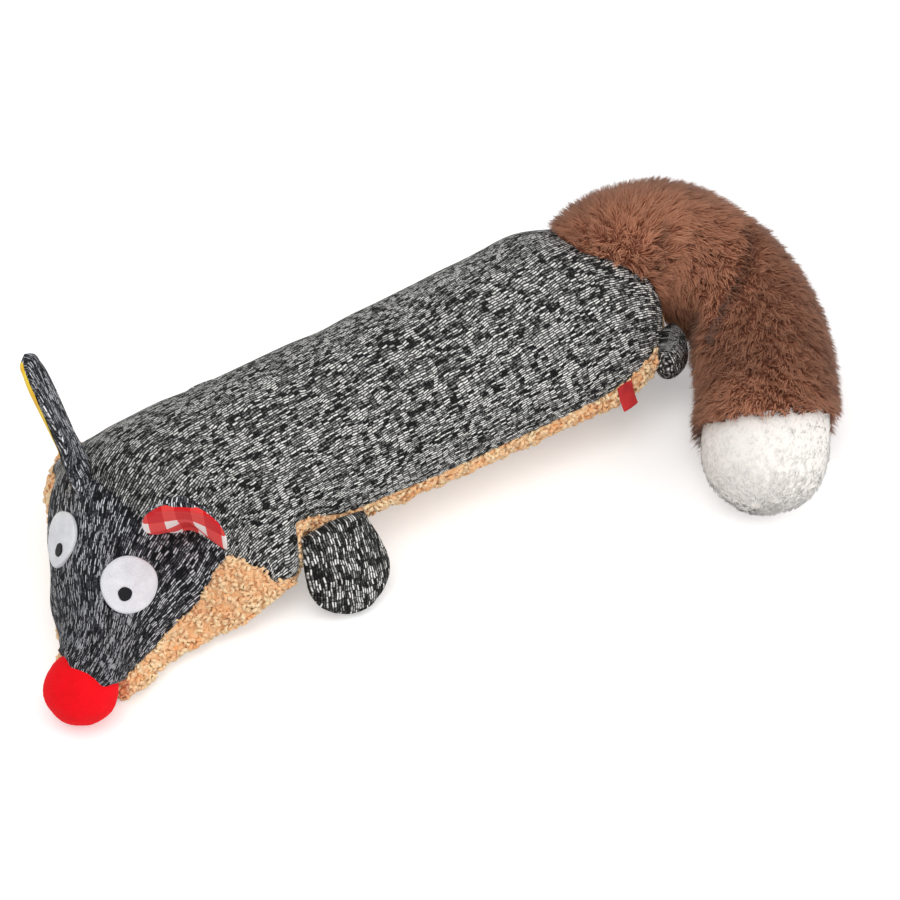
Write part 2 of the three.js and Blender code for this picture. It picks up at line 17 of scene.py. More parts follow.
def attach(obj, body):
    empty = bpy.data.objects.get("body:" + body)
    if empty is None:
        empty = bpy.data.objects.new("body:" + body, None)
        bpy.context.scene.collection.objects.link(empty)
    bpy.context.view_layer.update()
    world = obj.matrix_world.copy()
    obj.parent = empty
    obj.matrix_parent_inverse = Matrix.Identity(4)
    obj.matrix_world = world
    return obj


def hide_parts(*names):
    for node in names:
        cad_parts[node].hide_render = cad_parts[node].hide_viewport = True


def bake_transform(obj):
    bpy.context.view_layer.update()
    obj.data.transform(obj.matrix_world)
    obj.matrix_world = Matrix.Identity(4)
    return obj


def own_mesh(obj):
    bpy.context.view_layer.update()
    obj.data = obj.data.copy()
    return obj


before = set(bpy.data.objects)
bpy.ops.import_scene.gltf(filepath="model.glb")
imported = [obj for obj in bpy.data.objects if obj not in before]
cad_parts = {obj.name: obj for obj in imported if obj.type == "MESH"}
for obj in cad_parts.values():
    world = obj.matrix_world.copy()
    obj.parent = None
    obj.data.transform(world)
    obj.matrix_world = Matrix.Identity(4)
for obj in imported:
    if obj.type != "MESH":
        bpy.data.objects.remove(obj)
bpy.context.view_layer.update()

bl_info = {
    "name": "Squeaky Fox",
    "version": (1, 0, 0),
    "blender": (4, 5, 0),
    "location": "View3D > Sidebar > Fox",
    "description": "Draws the soft pieces of a squeaky fox toy over its solid model",
    "category": "Object",
}

MM = 0.001
TAU = 2 * math.pi
WAVE_COUNT = 14


# Small tools for arrays


def grid(rows, columns):
    """Two grids with a value for each row and for each column."""
    return np.meshgrid(rows, columns, indexing="ij")


def unit(vectors):
    """Vectors divided by their lengths."""
    return vectors / np.maximum(np.linalg.norm(vectors, axis=-1, keepdims=True), 1e-9)


def waves(points, length, seed):
    """Smooth noise between about -1 and 1: the sum of plane waves of about one wavelength, with
    directions and phases from a seed."""
    rng = np.random.default_rng(seed)
    ways = unit(rng.normal(size=(WAVE_COUNT, 3))) * rng.uniform(0.7, 1.4, (WAVE_COUNT, 1)) * TAU / length
    phases = rng.uniform(0, TAU, WAVE_COUNT)
    total = np.zeros(points.shape[:-1])
    for way, phase in zip(ways, phases):
        total += np.sin(points @ way + phase)
    return total / math.sqrt(WAVE_COUNT) / 1.4


def smooth(low, high, value):
    """0 below low, 1 above high, and an S-shaped rise between."""
    q = np.clip((value - low) / (high - low), 0, 1)
    return q * q * (3 - 2 * q)


def grid_normals(points):
    """Unit normals of a grid of points: the cross product of its two directions of change."""
    along = np.gradient(points, axis=0)
    across = np.gradient(points, axis=1)
    return unit(np.cross(along, across))


def arc_lengths(points, axis):
    """Running length of a grid's lines along one axis."""
    steps = np.linalg.norm(np.diff(points, axis=axis), axis=-1)
    zero = np.zeros_like(np.take(steps, [0], axis=axis))
    return np.cumsum(np.concatenate([zero, steps], axis=axis), axis=axis)


# Small tools for meshes


def object_of(name, points, faces, corner_map=None, values=None, vectors=None, flat=False):
    """Mesh object from points in millimetres and faces as index rows, with values and vectors kept as point
    attributes and corner_map as its UV map."""
    mesh = bpy.data.meshes.new(name)
    mesh.from_pydata(np.ascontiguousarray(points.reshape(-1, 3) * MM), [], faces)
    if corner_map is not None:
        layer = mesh.uv_layers.new(name="OFBake")
        layer.uv.foreach_set("vector", np.ascontiguousarray(corner_map, dtype=np.float32).ravel())
    for key, value in (values or {}).items():
        made = mesh.attributes.new(key, "FLOAT", "POINT")
        made.data.foreach_set("value", np.ascontiguousarray(value, dtype=np.float32).ravel())
    for key, value in (vectors or {}).items():
        made = mesh.attributes.new(key, "FLOAT_VECTOR", "POINT")
        made.data.foreach_set("vector", np.ascontiguousarray(value, dtype=np.float32).ravel())
    mesh.polygons.foreach_set("use_smooth", np.full(len(mesh.polygons), not flat))
    mesh.update()
    obj = bpy.data.objects.new(name, mesh)
    bpy.context.scene.collection.objects.link(obj)
    return obj


def grid_faces(rows, columns, wrap=False):
    """Quads of a grid as index rows, with the map's corners; wrap joins the last column to the first."""
    across = columns if wrap else columns - 1
    i, j = grid(np.arange(rows - 1), np.arange(across))
    i = i.ravel()
    j = j.ravel()
    k = (j + 1) % columns
    quads = np.stack([i * columns + j, (i + 1) * columns + j, (i + 1) * columns + k, i * columns + k], 1)
    u = np.stack([i, i + 1, i + 1, i], 1) / (rows - 1)
    v = np.stack([j, j, j + 1, j + 1], 1) / across
    corners = np.stack([u, v], -1).reshape(-1, 2) * 0.98 + 0.01
    return quads, corners


def sheet_object(name, points, wrap=False, vectors=None):
    """Object of a grid of points, open or joined round."""
    quads, corners = grid_faces(points.shape[0], points.shape[1], wrap)
    return object_of(name, points, quads, corners, vectors=vectors)


def spikes_object(name, roots, middles, tips, widths, sides, tones_and_shade, normals):
    """Hairs as closed three-sided spikes: a triangle at the root, a smaller one at the middle and a
    point. Each corner of a triangle is turned a third round the hair. The map's two values are the
    hair's tone, which carries the painted shade given with it, and the place along it. Hairs are shaded
    by the normals of the skin under them, as a soft coat is."""
    count = len(roots)
    lean = unit(tips - roots)
    first = unit(sides - lean * np.sum(sides * lean, -1, keepdims=True))
    second = np.cross(lean, first)
    turns = np.arange(3) * TAU / 3
    ring = first[:, None] * np.cos(turns)[:, None] + second[:, None] * np.sin(turns)[:, None]
    lower = roots[:, None] + ring * widths[:, None, None]
    upper = middles[:, None] + ring * widths[:, None, None] * 0.75
    points = np.concatenate([lower, upper, tips[:, None]], 1)
    base = np.array([
        (0, 1, 4, 0, 4, 3), (1, 2, 5, 1, 5, 4), (2, 0, 3, 2, 3, 5), (3, 4, 6, 4, 5, 6), (5, 3, 6, 0, 2, 1),
    ]).reshape(-1, 3)
    faces = (np.arange(count)[:, None, None] * 7 + base).reshape(-1, 3)
    along = np.tile(np.array([0, 0, 0, 0.5, 0.5, 0.5, 1.0]), count)
    tone = np.repeat(tones_and_shade, 7)
    corners = np.stack([tone[faces.ravel()], along[faces.ravel()]], -1) * 0.96 + 0.02
    made = object_of(name, points, faces, corners, {"along": along, "tone": tone})
    shading = unit(
        np.repeat(unit(normals), 7, axis=0) + 0.35 * ring[:, [0, 1, 2, 0, 1, 2, 0]].reshape(-1, 3)
    )
    made.data.normals_split_custom_set_from_vertices(shading.tolist())
    return made
# Skin of the body and head, in millimetres: sections along one bent line from the rump to the snout

RUMP_X = 92.0
NECK_X = -127.0
RUMP_RADIUS = 54.0
HEAD_TURN = math.radians(35)
BEND_RADIUS = 98.0
BEND_X = NECK_X + BEND_RADIUS * math.tan(HEAD_TURN / 2)
BEND_FROM = RUMP_X - BEND_X
BEND_TO = BEND_FROM + BEND_RADIUS * HEAD_TURN
HEAD_FROM = BEND_TO - BEND_RADIUS * math.tan(HEAD_TURN / 2)
SNOUT = HEAD_FROM + 96.0
CHIN = HEAD_FROM + 81.0
FLOOR = 0.4
BACK_POWER = 2.2
BELLY_POWER = 2.8

# Distance along the line, half widths to the left and right, heights where they are widest, top, lowest
# point, shift to the left, powers of the rounding above and below, and how far the cheeks flare out low on
# each side
SECTIONS = np.array([
    (0, 54, 52, 36.8, 36.8, 75.5, FLOOR, 0, 2.2, 1.5, 0, 0),
    (80, 51.8, 48.4, 35.7, 35.7, 71.8, FLOOR, 0, 2.2, 1.55, 0, 0),
    (150, 49.8, 46.6, 34.6, 34.6, 70.6, FLOOR, 0, 2.2, 1.7, 0, 0),
    (167, 49.3, 46.5, 34.2, 34.2, 70.8, FLOOR, 0, 2.2, 2.1, 0, 0),
    (175, 49.1, 46.6, 33.9, 33.9, 70.8, FLOOR, 0, 2.2, 2.5, 9, 0),
    (186, 48.8, 46.8, 33.2, 33.6, 71.0, FLOOR, 0, 2.2, 2.8, 12, 0),
    (203, 48.0, 47.0, 30.0, 33.5, 71.2, FLOOR, 0, 2.2, 2.8, 12, 0.5),
    (211, 47.5, 47.2, 27.0, 36.0, 71.4, FLOOR, 0, 2.2, 2.8, 11, 9),
    (218, 47.0, 47.5, 25.0, 37.0, 71.4, FLOOR, 0, 2.2, 2.8, 10.5, 14),
    (225, 46.0, 47.5, 23.0, 35.0, 71.2, FLOOR, 0, 2.15, 2.8, 10, 10),
    (233, 44.5, 46.0, 20.0, 26.0, 70.6, FLOOR, 0, 2.1, 2.8, 9, 0),
    (241, 42.5, 41.5, 17.0, 22.0, 68.6, FLOOR, 0, 2.02, 2.8, 8, -3),
    (249, 39.3, 37.0, 15.0, 20.0, 64.5, FLOOR, 0, 1.9, 2.8, 7, -4),
    (257, 34.0, 32.0, 14.0, 18.0, 60.0, FLOOR, 0.3, 1.85, 2.8, 6, -4),
    (273, 25.0, 24.5, 14.0, 15.0, 50.0, FLOOR, 3, 1.95, 2.8, 5, -1),
    (287, 18.5, 18.0, 15.0, 15.0, 40.5, 1.0, 7.6, 2.0, 2.6, 3, 0),
    (297, 16.8, 16.8, 16.5, 16.5, 36.2, 3.0, 10, 2.0, 2.2, 1, 0),
    (305, 17.3, 17.3, 17.0, 17.0, 34.9, 3.0, 10.6, 2.0, 2.0, 0, 0),
    (315, 17.3, 17.3, 17.0, 17.0, 34.6, 3.0, 10.6, 2.0, 2.0, 0, 0),
])
FLARE_ANGLE = -0.25
FLARE_SPREAD = 0.45


def eased(at, knots, values):
    """Smooth curve through values at knots: on each stretch a cubic whose end slopes are those of the chord
    between the two neighbours."""
    knots = np.asarray(knots, float)
    values = np.asarray(values, float)
    slopes = np.gradient(values, knots)
    i = np.clip(np.searchsorted(knots, at, side="right") - 1, 0, len(knots) - 2)
    step = knots[i + 1] - knots[i]
    q = np.clip((at - knots[i]) / step, 0, 1)
    rise = q * q * (3 - 2 * q)
    bend = q * (1 - q) * ((1 - q) * slopes[i] - q * slopes[i + 1]) * step
    return values[i] * (1 - rise) + values[i + 1] * rise + bend


def spine(t):
    """Point on the middle line at distance t from the rump's centre, and its heading: straight along -X,
    a turn of BEND_RADIUS to the left, then straight along the head."""
    turn = np.clip((t - BEND_FROM) / BEND_RADIUS, 0, HEAD_TURN)
    before = np.minimum(t, BEND_FROM)
    after = np.maximum(t - BEND_TO, 0)
    x = RUMP_X - before - BEND_RADIUS * np.sin(turn) - after * np.cos(turn)
    y = -BEND_RADIUS * (1 - np.cos(turn)) - after * np.sin(turn)
    return x, y, turn


def skin(t, v, out=0.0):
    """Point of the skin at distance t along the middle line and angle v round it, 0 at the left, a
    quarter turn at the top and half a turn at the right. Each quarter is a superellipse about the widest
    height, and the cheeks are a bell-shaped swell low on each side. The rump is rounded off over its own
    radius, and out moves the point away from the middle."""
    t, v = np.broadcast_arrays(np.asarray(t, float), np.asarray(v, float))
    inside = np.maximum(t, 0)
    row = [eased(inside, SECTIONS[:, 0], SECTIONS[:, k]) for k in range(1, 12)]
    wide_l, wide_r, high_l, high_r, top, low, shift, over, under, flare_l, flare_r = row
    q = np.clip(-t / RUMP_RADIUS, 0, 1)
    c = np.cos(v)
    s = np.sin(v)
    left = c >= 0
    above = s >= 0
    blend = 0.5 + 0.5 * np.clip(c / 0.35, -1, 1)
    wide = np.where(left, wide_l, wide_r) * np.sqrt(1 - q * q) + out
    high = high_l * blend + high_r * (1 - blend)
    power = np.where(above, over, under)
    up = (top - high) * (1 - q**BACK_POWER) ** (1 / BACK_POWER) + out
    down = (high - low) * (1 - q**BELLY_POWER) ** (1 / BELLY_POWER) + np.where(t < 280, 0, out)
    from_left = (v - FLARE_ANGLE) / FLARE_SPREAD
    from_right = (np.mod(math.pi - v + math.pi, TAU) - math.pi - FLARE_ANGLE) / FLARE_SPREAD
    flare = flare_l * np.exp(-from_left * from_left) - flare_r * np.exp(-from_right * from_right)
    across = wide * np.sign(c) * np.abs(c) ** (2 / power) + shift + flare
    z = high + np.where(above, up, down) * np.sign(s) * np.abs(s) ** (2 / power)
    x, y, turn = spine(inside)
    x = x + np.minimum(-t, RUMP_RADIUS) * (t < 0)
    return np.stack([x + across * np.sin(turn), y - across * np.cos(turn), np.maximum(z, FLOOR)], -1)


# Seams of the knit: distance along the line and angle in degrees, on the left and on the right
SEAM_LEFT = np.array([
    (-54, 4), (-39, 5), (-30, 8), (-16, 6), (8, 0.5), (30, -2.2), (52, -3.7), (74, -4.7), (95, -5.7),
    (117, -4), (140, -1), (156, 5), (166, 10), (171.5, 11), (175.5, -19), (184, -13), (194, -4), (206, 6),
    (218.8, 18.3), (225, 18), (236, 17), (250, 11.3), (256, 9), (263.5, 7), (278, 2), (290, 2), (299, 6),
    (306, 20), (313, 34),
])
SEAM_RIGHT = np.array([
    (-54, 176), (-39, 175), (-30, 172), (-16, 174), (8, 179.5), (30, 182.2), (52, 183.7), (74, 184.7),
    (95, 185.7), (117, 184), (140, 181), (175, 178), (205, 170), (218, 166), (222, 190), (227, 174),
    (231.5, 168), (234, 172), (240, 182), (250, 192), (256, 195), (263.5, 197), (278, 197), (290, 190),
    (299, 164), (306, 126), (313, 102),
])
# Where the back is sewn to the mask: share of the way from the left seam to the right one, and distance
MASK_EDGE = np.array([
    (0, 218.8), (0.045, 222), (0.16, 232), (0.3, 243.5), (0.357, 245.2), (0.426, 243), (0.558, 237.5),
    (0.71, 233), (0.86, 232), (1, 234),
])


def seam_angle(t, table):
    """Angle of a seam at distance t, in radians."""
    return np.radians(np.interp(t, table[:, 0], table[:, 1]))


def knit_angle(t, share):
    """Angle at a share of the way over the back from the left seam to the right one."""
    left = seam_angle(t, SEAM_LEFT)
    return left + (seam_angle(t, SEAM_RIGHT) - left) * share


def mask_edge(share):
    """Distance at which the back ends and the mask begins."""
    return eased(share, MASK_EDGE[:, 0], MASK_EDGE[:, 1])


# Knit and fleece

KNIT_PROUD = 0.5
KNIT_ROLL = 2.0


def creases(t, v, points):
    """How far the stuffed knit swells or sinks: slow swells, small ones, and folds on the inside of the
    neck's bend that lie across the line and die out towards the back."""
    lumps = 0.5 * waves(points, 52, 3) + 0.3 * waves(points, 21, 4)
    folds = np.zeros(t.shape)
    for middle, slant, depth, breadth in ((197, 12, 0.9, 3.4), (208, 18, 0.7, 3.0)):
        away = t - middle - slant * (v - 0.6)
        folds -= depth * np.exp(-((away / breadth) ** 2)) * smooth(0.15, 0.4, v) * (1 - smooth(0.9, 1.5, v))
    between_ears = np.exp(-(((t - 236) / 4.0) ** 2)) * smooth(0.5, 1.0, v) * (1 - smooth(2.1, 2.6, v))
    return lumps + folds - 1.1 * between_ears


def knit_sheet(t, share):
    """Grid of the knit and its cloth coordinates: the skin a little out, swollen by the creases, and
    rolled in over its last few millimetres at the side seams. The coordinates are the length along the
    cloth and, from the angle round the body, the length across it."""
    v = knit_angle(t, share)
    plain = skin(t, v)
    normal = grid_normals(plain)
    normal *= np.sign(np.sum(normal[:, normal.shape[1] // 2, 2]))
    across = arc_lengths(plain, 1)
    edge = np.minimum(across, across[:, -1:] - across)
    over_nose = smooth(298, 303, t)
    rise = KNIT_PROUD - KNIT_ROLL * (1 - smooth(0, 2.6, edge)) + 0.5 * smooth(3, 9, edge) * (1 - over_nose)
    rise = rise - 1.6 * smooth(SNOUT - 1.2, SNOUT, t)
    folds = np.sin(t * TAU / 8.5 + 2 * waves(plain, 30, 9))
    pucker = 0.28 * folds * (1 - smooth(2, 9, edge)) * smooth(0.6, 2, edge)
    swell = creases(t, v, plain) * smooth(1, 12, edge) * (1 - over_nose)
    points = plain + normal * ((rise + pucker + swell) * smooth(-54, -47, t))[..., None]
    points[..., 2] = np.maximum(points[..., 2], FLOOR)
    round_top = (v - math.pi / 2) * 46 * np.sqrt(1 - np.clip(-t / RUMP_RADIUS, 0, 1) ** 2 * 0.96)
    cloth = np.stack([t, round_top, np.zeros_like(t)], -1)
    return points, cloth


def back_grid():
    """The back: from the pole of the rump to the seam with the mask, over the whole width."""
    a, share = grid(np.linspace(0, 1, 190), np.linspace(0, 1, 101))
    return knit_sheet(-RUMP_RADIUS + a * (mask_edge(share) + RUMP_RADIUS), share)


def mask_grid():
    """The mask: from its seam with the back to the snout."""
    a, share = grid(np.linspace(0, 1, 64), np.linspace(0, 1, 101))
    edge = mask_edge(share)
    return knit_sheet(edge + a * (SNOUT - edge), share)


def fleece_bulge(t, turn):
    """How far the fleece stands out: nothing at the seams and under the belly, most on the cheeks."""
    cheeks = smooth(172, 182, t) * (1 - 0.35 * smooth(262, 300, t))
    right_cheek = smooth(212, 222, t) * (1 - smooth(230, 245, t))
    left_side = np.sin(np.clip(turn / 0.30, 0, 1) * math.pi / 2) * (1 - smooth(0.34, 0.5, turn))
    right_side = np.sin(np.clip((1 - turn) / 0.30, 0, 1) * math.pi / 2) * (1 - smooth(0.34, 0.5, 1 - turn))
    return left_side * (0.6 + 4.6 * cheeks) + right_side * (0.6 + 2.6 * right_cheek)


def fleece_grid():
    """Belly, cheeks and chin: the skin from the left seam down under the body and up to the right seam,
    bulged, covered in pebbles that meet in creases where two waves cross nought, closed behind the nose
    and flat on the floor."""
    t, turn = grid(np.linspace(-RUMP_RADIUS, CHIN, 340), np.linspace(0, 1, 231))
    left = seam_angle(t, SEAM_LEFT) + 0.05
    right = seam_angle(t, SEAM_RIGHT) - TAU - 0.05
    v = left + (right - left) * turn
    out = fleece_bulge(t, turn) - 0.9
    plain = skin(t, v, out * smooth(-54, -44, t))
    normal = grid_normals(plain)
    normal *= -np.sign(np.sum(normal[:, normal.shape[1] // 2, 2]))
    pebbles = np.abs(waves(plain, 6.2, 22)) + 0.8 * np.abs(waves(plain, 4.4, 23))
    lumps = 0.9 * waves(plain, 11, 21) + 1.5 - 1.7 * np.exp(-1.6 * pebbles)
    bulge = lumps * smooth(0, 0.03, turn) * smooth(0, 0.03, 1 - turn) * smooth(-54, -46, t)
    points = plain + normal * bulge[..., None]
    points[-1] = points[-2].mean(0)
    points[..., 2] = np.maximum(points[..., 2], FLOOR)
    return points


def scatter(points, count, weight, seed):
    """Random places on a grid, as likely as their area times weight: position, normal and direction
    along the grid's rows, with the row and column they fell on."""
    rng = np.random.default_rng(seed)
    along = points[1:, :-1] - points[:-1, :-1]
    across = points[:-1, 1:] - points[:-1, :-1]
    normal = np.cross(along, across)
    area = np.linalg.norm(normal, axis=-1) * weight[:-1, :-1]
    chosen = rng.choice(area.size, count, p=(area / area.sum()).ravel())
    i, j = np.unravel_index(chosen, area.shape)
    a = rng.random((count, 1))
    b = rng.random((count, 1))
    place = points[i, j] + along[i, j] * a + across[i, j] * b
    return place, unit(normal[i, j]), unit(along[i, j]), i, j, rng


CURL_STEPS = 7


def curls_object(name, place, normal, way, rng):
    """Curly tufts: each is three quarters of a ring that stands up from the fleece, a three-sided tube that
    closes to a point at both ends."""
    count = len(place)
    turn = rng.uniform(0, TAU, (count, 1))
    side = np.cross(normal, way)
    first = way * np.cos(turn) + side * np.sin(turn)
    second = np.cross(normal, first)
    tilt = rng.uniform(0.1, 0.75, (count, 1))
    second = unit(second * (1 - tilt) + normal * tilt)
    radius = rng.uniform(0.8, 1.5, (count, 1, 1))
    sweep = np.linspace(0, 1, CURL_STEPS)[None, :, None] * rng.uniform(2.8, 4.6, (count, 1, 1))
    ring = first[:, None] * (np.cos(sweep) - 0.3) + second[:, None] * np.sin(sweep)
    steps = np.linspace(0.1, 1.0, CURL_STEPS)[None, :, None]
    rise = normal[:, None] * (steps * rng.uniform(0.1, 0.9, (count, 1, 1)))
    path = place[:, None] + ring * radius + rise
    path[..., 2] = np.maximum(path[..., 2], FLOOR + 0.6)
    tangent = unit(np.gradient(path, axis=1))
    outward = unit(path - (place + normal * radius[:, 0])[:, None])
    outward = unit(outward - tangent * np.sum(outward * tangent, -1, keepdims=True))
    aside = np.cross(tangent, outward)
    thick = 1.0 * np.sin(np.linspace(0.06, 0.94, CURL_STEPS) * math.pi)[None, :, None] ** 0.5
    turns = np.arange(3) * TAU / 3
    around = [outward * math.cos(q) + aside * math.sin(q) for q in turns]
    points = path[:, :, None] + np.stack(around, 2) * thick[..., None]
    points[..., 2] = np.maximum(points[..., 2], FLOOR)
    points = points.reshape(count, -1, 3)
    step, k = grid(np.arange(CURL_STEPS - 1), np.arange(3))
    here = (step * 3 + k).ravel()
    beside = (step * 3 + (k + 1) % 3).ravel()
    quads = np.stack([here, beside, beside + 3, here + 3], 1)
    halves = np.concatenate([quads[:, [0, 1, 2]], quads[:, [0, 2, 3]]])
    last = 3 * CURL_STEPS
    ends = np.array([(0, 2, 1), (last - 3, last - 2, last - 1)])
    base = np.concatenate([halves, ends])
    faces = (np.arange(count)[:, None, None] * last + base).reshape(-1, 3)
    along = np.tile(np.repeat(np.linspace(0, 1, CURL_STEPS), 3), count)
    tone = np.repeat(np.clip(0.5 + 0.22 * waves(place, 11, 31) + rng.normal(0, 0.1, count), 0, 1), last)
    corners = np.stack([tone[faces.ravel()], along[faces.ravel()]], -1) * 0.96 + 0.02
    return object_of(name, points, faces, corners, {"along": along, "tone": tone})


# Tail

TAIL_LINE = np.array([
    (108, 9, 58, 17), (128, 11, 56, 23.5), (148, 10, 52, 27.5), (164, 7, 48.5, 28), (174, -5, 45, 27.5),
    (178.5, -24, 41.5, 27.5), (176, -47, 38, 27.8), (167, -70, 34.5, 28.4), (155, -90, 31.5, 28.6),
    (144.5, -104, 29.8, 29.4), (134.5, -116, 28.5, 29.6), (127, -124, 27, 27.3),
    (121.5, -129.5, 25.5, 22.5), (119, -132, 24.5, 18.7),
])
TAIL_RUN = np.concatenate([[0], np.cumsum(np.linalg.norm(np.diff(TAIL_LINE[:, :3], axis=0), axis=1))])
TAIL_END = TAIL_RUN[-1]
TIP_CAP = 7.0
# Length over which the tip rounds off
TIP_ROUND = 32.0
TAIL_ANGLES = np.arange(72) * TAU / 72 - math.pi
# Where the brown ends below, how much further to one side, and on the top
FUR_EDGE = (174.9, 7.0, 23.0)
BROWN_TO = 200.0
WHITE_FROM = 160.0
FUR_SINK = 1.5
# Folds of the fur: distance and angle of a point on the fold, its slant, depth, breadth and the angles it
# spans
TAIL_FOLDS = (
    (110, 1.38, -34, 4.2, 5.0, 0.5, 2.1),
    (38, 0.6, 8, 3.4, 2.8, 0.2, 1.1),
    (56, 0.75, 30, 3.4, 2.8, 0.3, 1.2),
    (112, 0.0, 0, 4.0, 13, -0.7, 0.45),
)


def on_tail_line(run):
    """Point of the tail's middle line at a distance from its root."""
    return np.stack([eased(run, TAIL_RUN, TAIL_LINE[:, k]) for k in range(3)], -1)


def tail_frame(run):
    """Middle of the tail at a distance from its root, its radius, and the directions along, to the side
    and up."""
    inside = np.clip(run, 0, TAIL_END)
    ahead = np.minimum(inside + 0.5, TAIL_END)
    behind = np.maximum(inside - 0.5, 0)
    middle = on_tail_line(inside)
    along = unit(on_tail_line(ahead) - on_tail_line(behind))
    side = unit(np.cross(along, np.array([0, 0, 1.0])))
    up = np.cross(side, along)
    past = np.clip(run - TAIL_END, 0, TIP_CAP)
    start = TIP_ROUND - TIP_CAP
    close = np.maximum(TIP_ROUND ** 2 - (start + past) ** 2, 0) / (TIP_ROUND ** 2 - start ** 2)
    radius = eased(inside, TAIL_RUN, TAIL_LINE[:, 3]) * np.sqrt(close)
    return middle + along * past[..., None], radius, along, side, up


def tail_folds(run, angle):
    """Depth of the folds in the fur where the tail bends: each follows a slanted line round the tail."""
    depth = np.zeros(np.broadcast(run, angle).shape)
    for middle, at, slant, deep, breadth, start, end in TAIL_FOLDS:
        away = run - middle - slant * (angle - at)
        spans = smooth(start - 0.2, start + 0.2, angle) * (1 - smooth(end - 0.2, end + 0.2, angle))
        depth += deep * np.exp(-((away / breadth) ** 2)) * spans
    return depth


def tail_skin(run, angle, out=0.0):
    """Point of the tail: a circle about its middle line, sunk at the folds, and flat on the floor."""
    middle, radius, _, side, up = tail_frame(run)
    reach = np.maximum(radius + (out - tail_folds(run, angle)) * np.minimum(radius / 12, 1), 0)
    around = side * np.cos(angle)[..., None] + up * np.sin(angle)[..., None]
    points = middle + around * reach[..., None]
    points[..., 2] = np.maximum(points[..., 2], FLOOR)
    return points


def fur_edge(angle):
    """Distance along the tail at which the brown ends: further on the top than at the sides and below."""
    level, aside, over = FUR_EDGE
    return level + aside * np.cos(angle) + over * np.maximum(np.sin(angle), 0)


def tail_tube(first, last, rows, out):
    """Closed tube of the tail between two distances, which may change round it, drawn in to its middle
    at both ends and with closer rows towards the second."""
    share = np.sin(np.linspace(0, 1, rows) * math.pi / 2)[:, None]
    run = first + (last - first) * share + 0 * TAIL_ANGLES
    run[0] = run[0].mean()
    run[-1] = run[-1].mean()
    angle = np.broadcast_to(TAIL_ANGLES, run.shape)
    outs = np.full(run.shape, float(out))
    outs[0] = -1000
    outs[-1] = -1000
    return tail_skin(run, angle, outs)


def off_the_rump(points):
    """True where a point is outside the rump's skin: further from its upright middle line than the rump
    is wide at that height."""
    widest = SECTIONS[0, 3]
    top = SECTIONS[0, 5]
    height = np.clip((points[..., 2] - widest) / (top - widest), -1, 1)
    reach = RUMP_RADIUS * (1 - np.abs(height) ** BACK_POWER) ** (1 / BACK_POWER)
    away = np.hypot(points[..., 0] - RUMP_X, points[..., 1])
    return (away > reach + 0.3) | (points[..., 2] > top + 0.3)


def fur(first, last, count, length, lift, seed):
    """Hairs between two distances along the tail: root, middle and tip of each, its width, a direction
    to its side, its tone and the skin's normal. A hair leaves the skin steeply and lies over towards the
    tip of the tail, and neighbours are drawn together by slow noise. At the root of the tail it leans
    the other way, over the rump. The brown reaches further on the top of the tail. The tone is random
    and slowly mottled, with painted shade in the folds and on the top of the tail past the main one."""
    run, angle = grid(np.linspace(first, last, 161), np.linspace(-math.pi, math.pi, 181))
    points = tail_skin(run, angle, -FUR_SINK)
    weight = off_the_rump(points) * (points[..., 2] > FLOOR + 0.4)
    edge = fur_edge(angle)
    weight = weight * (run > edge - 0.5 if last > BROWN_TO else run < edge + 2 + 2 * waves(points, 5, 75))
    place, normal, along, i, j, rng = scatter(points, count, weight.astype(float), seed)
    normal *= np.sign(np.sum(normal * (place - tail_frame(run[i, j])[0]), -1, keepdims=True))
    at = run[i, j]
    long = length * rng.uniform(0.75, 1.15, (count, 1))
    pull = np.stack([waves(place, 6.5, seed + k) for k in (11, 12, 13)], -1)
    loose = np.stack([waves(place, 2.6, seed + k) for k in (14, 15, 16)], -1)
    stray = rng.normal(0, 0.07, (count, 3))
    lean = (1.15 * smooth(2, 66, at) - 0.45)[:, None]
    steep = unit(normal * (lift + 0.5) + along * lean * 0.6 + 0.13 * pull + stray)
    flat = unit(normal * lift + along * lean + 0.26 * pull + 0.12 * loose + stray)
    middle = place + steep * long * 0.5
    tip = place + flat * long
    for points_of in (place, middle, tip):
        points_of[:, 2] = np.maximum(points_of[:, 2], FLOOR + 0.1)
    shade = 0.68 + 0.1 * waves(place, 34, seed + 21) + 0.1 * waves(place, 6.5, seed + 22)
    shade += rng.normal(0, 0.1, count)
    # Painted shade: the hairs are darkened in the folds and on the top of the tail past the main fold
    shaded_past_fold = smooth(0, 24, at - 108 + 34 * (angle[i, j] - 1.38)) * (1 - smooth(164, 186, at))
    shade -= 0.28 * tail_folds(at, angle[i, j]) + 0.34 * shaded_past_fold * smooth(0.1, 0.8, angle[i, j])
    width = rng.uniform(0.24, 0.38, count)
    return place, middle, tip, width, np.cross(normal, along), np.clip(shade, 0, 1), normal


# Legs, ears, face and label

PADDLE_STEPS = 48
# Distance along a paddle, its half width and its half thickness
LEG_ROWS = np.array([
    (-6, 14.5, 1.2), (-4.2, 16.2, 4.6), (0, 17.2, 6.4), (12, 20, 7.6), (23, 20.5, 7.6), (31, 16.5, 6.6),
    (36, 9.8, 4.6), (38.2, 4, 2.4), (38.8, 0, 0),
])
EAR_ROWS = np.array([
    (-14, 8, 0.6), (-12, 9.5, 2.6), (0, 12, 3.4), (15, 15.5, 3.8), (30, 16, 3.7), (41, 12, 3.2),
    (47, 6, 2.2), (49, 0, 0),
])
# A felt disc from its middle to its edge: share of its radius, and height against its thickness
DISC_PROFILE = np.array([
    (0, 1), (0.3, 1), (0.55, 1), (0.75, 1), (0.88, 0.98), (0.95, 0.9), (0.985, 0.7), (1, 0.4), (1, -0.6),
])
NECK = np.array([NECK_X, 0, 0])
HEAD_AXES = np.array([
    (-math.cos(HEAD_TURN), -math.sin(HEAD_TURN), 0), (math.sin(HEAD_TURN), -math.cos(HEAD_TURN), 0),
    (0, 0, 1),
])


def on_head(place):
    """Point of the head's own frame, forward, to the left and up from the neck, in the frame of the toy."""
    return NECK + np.asarray(place, float) @ HEAD_AXES


